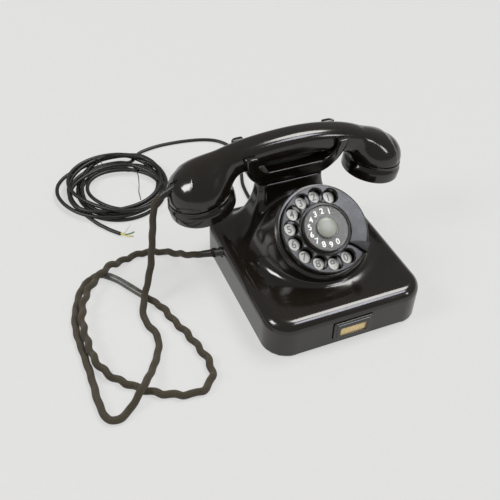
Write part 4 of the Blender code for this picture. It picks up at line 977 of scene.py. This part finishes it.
def turned_mesh(name, profile, material, place, segments=96, split=30):
    """Spin a profile in millimetres about Z and put it at its place."""
    shape = bmesh.new()
    corners = [shape.verts.new((radius * MM, 0.0, height * MM)) for radius, height in profile]
    pairs = list(zip(corners, corners[1:]))
    if profile[0][0] > 0:
        pairs.append((corners[-1], corners[0]))
    edges = [shape.edges.new(pair) for pair in pairs]
    bmesh.ops.spin(shape, geom=corners + edges, cent=(0, 0, 0), axis=(0, 0, 1), dvec=(0, 0, 0),
                   angle=math.tau, steps=segments, use_merge=True, use_duplicate=False)
    bmesh.ops.remove_doubles(shape, verts=shape.verts, dist=1e-7)
    bmesh.ops.recalc_face_normals(shape, faces=shape.faces)
    return finish_shape(name, shape, place, material, split)


def cup_place(cup):
    (x, z), lean, _, _ = CUPS[cup]
    return Matrix.Translation(Vector((x, SADDLE_Y, z)) * MM) @ Matrix.Rotation(math.radians(-lean), 4, "Y")


DIAL_PLACE = Matrix.Translation(Vector(DIAL_CENTRE.tolist()) * MM) @ Matrix.Rotation(TILT, 4, "X")
print("lathe ready")

# %% Mouthpiece and earpiece cups
CUP_WALL = 2.3 + 3.3
CUP_OUTSIDE = [
    (6.0, -1.2), (3.6, -1.6), (2.0, -1.5), (0.8, -0.9), (0.15, 0.1), (0.0, 1.2), (0.0, 7.4), (0.1, 8.3),
    (0.4, 9.2), (0.9, 10.2), (1.6, 11.3), (2.1, 12.3), (2.2, 12.8), (2.0, 13.2), (1.6, 13.7), (1.5, 14.3),
    (1.7, 14.85), (2.0, 15.0)]
for cup in CUPS:
    _, _, radius, _ = CUPS[cup]
    inside = radius - CUP_WALL
    profile = [
        (0.0, 2.4), (6.0, 2.3), (10.0, 2.0), (13.0, 1.1), (15.5, -0.1),
        *((radius - step, height) for step, height in CUP_OUTSIDE),
        (inside, 15.0), (inside, 18.8), (inside - 2, 18.8), (inside - 2, 5.0), (0.0, 5.0)]
    cap = turned_mesh(f"{cup}piece_cup", profile, phenolic, cup_place(cup), 112, 40)
    cutters = []
    for step in range(7):
        reach = 0.0 if step == 0 else 7.0
        angle = math.tau * step / 6
        spot = Matrix.Translation(Vector((reach * math.cos(angle), reach * math.sin(angle), 0)) * MM)
        cutters.append(turned_mesh("vent", [(0.0, 9.0), (1.6, 9.0), (1.6, -3.0), (0.0, -3.0)], phenolic,
                                   cup_place(cup) @ spot, 20))
    drill = joined("vents", cutters)
    cut = cap.modifiers.new("vents", "BOOLEAN")
    cut.object = drill
    cut.solver = "EXACT"
    bpy.context.view_layer.objects.active = cap
    bpy.ops.object.modifier_apply(modifier=cut.name)
    bpy.data.objects.remove(drill)
    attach(cap, "handset")
    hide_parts(f"{cup}piece_cap")
    print(cap.name, len(cap.data.polygons), "faces")

# %% [markdown]
# ## Dial
# From the outside in: a black case with a stepped bezel, an enamelled number ring, the finger wheel
# with its ten holes, and in the middle a printed card in a browned ring with a grey hub. The wheel is
# a field again, because the soft edge of each finger hole is then the same rounding formula.

# %% Bezel and number ring
WHEEL_RADIUS, HOLE_CIRCLE, HOLE_RADIUS, WHEEL_THICK = 39.6, 30.8, 6.5, 3.6
FIRST_HOLE, HOLE_STEP = -27.8, 360 / 14
HOLE_ANGLES = [FIRST_HOLE + HOLE_STEP * index for index in range(10)]


def on_dial(radius, angle, height=0.0):
    """A point in the dial's own plane; the angle runs from the top, anticlockwise from the front."""
    turn = math.radians(angle)
    return Vector((-radius * math.sin(turn), radius * math.cos(turn), height)) * MM


bezel = turned_mesh("dial_bezel", [
    (38.0, -5.75), (41.3, -5.6), (42.1, -5.75), (42.55, -6.2), (42.7, -6.8), (42.7, -7.6), (42.4, -7.9),
    (42.4, -8.2), (42.7, -8.5), (42.7, -8.65), (35.2, -8.7), (35.2, -32.0), (4.4, -32.0), (4.4, -30.5),
    (33.7, -30.5), (33.7, -7.4), (36.4, -7.4), (36.4, -6.0), (36.9, -5.75)], phenolic, DIAL_PLACE, 144)
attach(bezel, "base")
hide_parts("dial_case")
number_ring = turned_mesh("number_ring", [
    (36.1, -7.1), (36.1, -6.7), (35.8, -6.5), (22.3, -6.5), (22.0, -6.7), (22.0, -7.1)], black_enamel,
    DIAL_PLACE, 128)
SPOT = [(0.0, -6.3), (4.8, -6.3), (5.25, -6.34), (5.4, -6.49), (0.0, -6.49)]
spots = []
for angle in HOLE_ANGLES:
    place = DIAL_PLACE @ Matrix.Translation(on_dial(HOLE_CIRCLE, angle))
    spots.append(turned_mesh("spot", SPOT, white_enamel, place, 40))
print("bezel and", len(spots), "enamel spots")


# %% Digits
def digit_mesh(text, height, place, material, weight=0.0):
    """A plain numeral as a thin raised print."""
    curve = bpy.data.curves.new("numeral", "FONT")
    curve.body = text
    curve.size = height / 0.72 * MM
    curve.offset = weight * MM
    curve.extrude = 0.04 * MM
    curve.align_x = "CENTER"
    curve.align_y = "CENTER"
    numeral = bpy.data.objects.new("numeral", curve)
    bpy.context.collection.objects.link(numeral)
    bpy.context.view_layer.update()
    mesh = bpy.data.meshes.new_from_object(numeral.evaluated_get(bpy.context.evaluated_depsgraph_get()))
    bpy.data.objects.remove(numeral)
    mesh.transform(place)
    mesh.materials.clear()
    return add_piece("numeral", mesh, material)


ring_digits, card_digits = [], []
for text, angle in zip("1234567890", HOLE_ANGLES):
    on_ring = DIAL_PLACE @ Matrix.Translation(on_dial(HOLE_CIRCLE, angle, -6.28))
    on_card = DIAL_PLACE @ Matrix.Translation(on_dial(15.2, angle, 2.46))
    ring_digits.append(digit_mesh(text, 6.6, on_ring, digit_ink, 0.1))
    card_digits.append(digit_mesh(text, 5.1, on_card, white_ink, 0.15))
number_ring = joined("number_ring", [number_ring, *spots, *ring_digits])
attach(number_ring, "base")
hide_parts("number_ring")
print("number ring", len(number_ring.data.polygons), "faces")


# %% Finger wheel
def wheel_field(p):
    x, y, z = p.T
    out = np.hypot(x, y)
    disc = round_common(out - WHEEL_RADIUS, np.maximum(z, -WHEEL_THICK - z), 1.1)
    disc = round_common(disc, 3.3 - out, 0.2)
    groove = np.hypot(out - 23.6, z - 0.1) - 0.45
    disc = round_common(disc, -groove, 0.2)
    for angle in HOLE_ANGLES:
        hole_x, hole_y, _ = on_dial(HOLE_CIRCLE, angle) / MM
        disc = round_common(disc, HOLE_RADIUS - np.hypot(x - hole_x, y - hole_y), 0.9)
    return disc


WHEEL_CELL = 0.6
wheel = moulded("finger_wheel", wheel_field, (-41, -41, -5), (41, 41, 2), WHEEL_CELL, wheel_lacquer,
                DIAL_PLACE)
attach(wheel, "dial")
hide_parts("finger_wheel")
print("wheel faces:", len(wheel.data.polygons))

# %% Card, ring and hub
card_ring = turned_mesh("card_ring", [
    (20.9, 4.2), (21.4, 4.0), (21.6, 3.6), (21.6, 2.9), (21.35, 2.6), (21.35, 1.9), (21.6, 1.6), (21.6, 0.35),
    (20.4, 0.35), (20.4, 3.9), (20.55, 4.15)], browned_lacquer, DIAL_PLACE, 128)
card = turned_mesh("dial_card", [(20.0, 2.4), (20.0, 0.35), (7.6, 0.35), (7.6, 2.4)], printed_card,
                   DIAL_PLACE, 128)
card = joined("dial_card", [card, *card_digits])
cover = turned_mesh("card_cover", [(20.1, 3.75), (19.8, 3.9), (7.6, 3.9), (7.6, 3.1), (20.1, 3.1)], celluloid,
                    DIAL_PLACE, 128)
hub = turned_mesh("dial_hub", [
    (0.0, 6.2), (3.0, 6.15), (5.6, 6.0), (7.4, 5.7), (8.4, 5.3), (9.0, 4.85), (9.2, 4.5), (9.2, 4.25),
    (7.2, 4.2), (7.2, 0.35), (0.0, 0.35)], hub_cap_metal, DIAL_PLACE, 64)
for piece, node, slot in ((card_ring, "card_ring", "brass"), (card, "dial_card", "dark_card"),
                          (cover, "card_window", "clear_cover"), (hub, "dial_hub", "hub_grey")):
    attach(piece, "dial")
    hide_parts(node)
print("card, ring, cover and hub placed")

# %% [markdown]
# ## Finger stop
# The stop is a claw of steel in worn black lacquer. It stands on the bezel, reaches over the wheel's
# rim and narrows inward to a small hook beside the card ring. A flat outline with a bevel gives the
# rolled edge of a pressed part.

# %% Finger stop
STOP_OUTLINE = [(42.2, -6.6), (42.3, 0.0), (42.2, 6.6), (39.0, 6.5), (35.0, 5.6), (31.0, 3.8), (27.5, 0.9),
                (25.0, -2.6), (23.4, -7.2), (25.4, -7.8), (28.2, -6.4), (31.5, -6.0), (35.5, -6.4),
                (39.5, -6.6)]
STOP_ANGLE = -129.0


def plate(name, outline, low, high, bevel, material, place):
    """A flat plate from an outline in millimetres, with bevelled edges."""
    shape = bmesh.new()
    base = [shape.verts.new((x, y, low * MM)) for x, y in outline]
    face = shape.faces.new(base)
    raised = bmesh.ops.extrude_face_region(shape, geom=[face])
    lifted = [item for item in raised["geom"] if isinstance(item, bmesh.types.BMVert)]
    bmesh.ops.translate(shape, verts=lifted, vec=(0, 0, (high - low) * MM))
    bmesh.ops.recalc_face_normals(shape, faces=shape.faces)
    rims = [edge for edge in shape.edges if abs(edge.verts[0].co.z - edge.verts[1].co.z) < 1e-9]
    bmesh.ops.bevel(shape, geom=rims, offset=bevel * MM, segments=3, profile=0.6, affect="EDGES")
    return finish_shape(name, shape, place, material, 50)


loop = [(*(on_dial(radius, STOP_ANGLE + angle) / MM)[:2], 0.0) for radius, angle in STOP_OUTLINE]
smooth_loop = smooth_route([*loop, loop[0]], 0.8)[:-1] * MM
claw = plate("claw", [tuple(point[:2]) for point in smooth_loop], 0.9, 2.9, 0.5, stop_enamel, DIAL_PLACE)
post_outline = [tuple(on_dial(radius, STOP_ANGLE + angle)[:2]) for radius, angle in
                ((40.4, -5), (42.0, -5), (42.2, 0), (42.0, 5.5), (40.4, 5.5), (40.4, 0))]
post = plate("post", post_outline, -5.5, 1.2, 0.2, stop_enamel, DIAL_PLACE)
stop = joined("finger_stop", [claw, post])
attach(stop, "base")
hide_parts("finger_stop")
print("finger stop faces:", len(stop.data.polygons))


# %% [markdown]
# ## Number card frame
# A small frame is pressed into the front wall. It holds an aged cream card behind a clear slip. Its
# top bar is a little thicker than the rest, so it catches the light from above.

# %% Card frame
LABEL_X, LABEL_LOW, LABEL_HIGH, FRONT = 1.0, 7.2, 27.2, -85.5


def label_field(p):
    x, y, z = p.T
    high = (LABEL_LOW + LABEL_HIGH) / 2
    flat = rectangle_distance(x - LABEL_X, z - high, 19.0, 10.0, 1.5)
    plate_part = round_common(flat, np.maximum(FRONT - 1.5 - y, y - FRONT + 0.3), 0.4)
    ridge = rectangle_distance(x - LABEL_X, z - (high - 0.4), 16.4, 8.0, 1.0)
    ridge = round_common(ridge, np.maximum(FRONT - 2.2 - y, y - FRONT + 0.4), 0.5)
    opening = rectangle_distance(x - LABEL_X, z - 15.6, 12.7, 4.8, 0.4)
    pocket = rectangle_distance(x - LABEL_X, z - 15.6, 14.3, 6.4, 0.3)
    pocket = np.maximum(pocket, FRONT - 1.5 - y)
    return round_common(fillet_union(plate_part, ridge, 0.3), -np.minimum(opening, pocket), 0.25)


label_frame = moulded("card_frame", label_field, (-19.5, -88.4, 6), (21.5, -84.2, 28.4), 0.45, phenolic)
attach(label_frame, "base")
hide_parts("label_frame")
print("card frame faces:", len(label_frame.data.polygons))

# %% [markdown]
# ## Parts that keep their CAD shape
# The works inside and the plain parts are right as they are. Each takes the finish of its real
# material, chosen by the slot that the record gives it, or by its own name where one slot covers
# two finishes.

# %% Finishes for the CAD nodes
SLOT_FINISH = {
    "black_moulding": phenolic, "bakelite_inner": paxolin, "plated_steel": nickel_steel,
    "brass": turned_brass, "tinned_can": tinned_can, "number_enamel": black_enamel, "cream_card": cream_card,
    "dark_card": printed_card, "clear_cover": celluloid, "hub_grey": hub_cap_metal, "black_rubber": rubber,
    "coil_winding": winding,
    "brown_braid": cotton_braid, "grey_sleeve": sleeve_plastic}
NODE_FINISH = {"base_plate": zinc_sheet, "hook_bracket": zinc_sheet, "gong_1": nickel_steel,
               "gong_2": nickel_steel, **{f"foot_{number}": foot_rubber for number in range(1, 5)}}
for part in frame["record"]["subparts"]:
    node = frame["nodes"][part["node"]]
    node.data.materials.clear()
    node.data.materials.append(NODE_FINISH.get(part["node"], SLOT_FINISH[part["material_slot"]]))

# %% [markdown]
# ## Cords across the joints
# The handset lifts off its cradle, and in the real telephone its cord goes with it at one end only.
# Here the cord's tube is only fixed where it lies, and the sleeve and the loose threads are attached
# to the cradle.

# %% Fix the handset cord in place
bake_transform(handset_cord)
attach(cord_sleeve, "cradle")
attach(frays, "cradle")
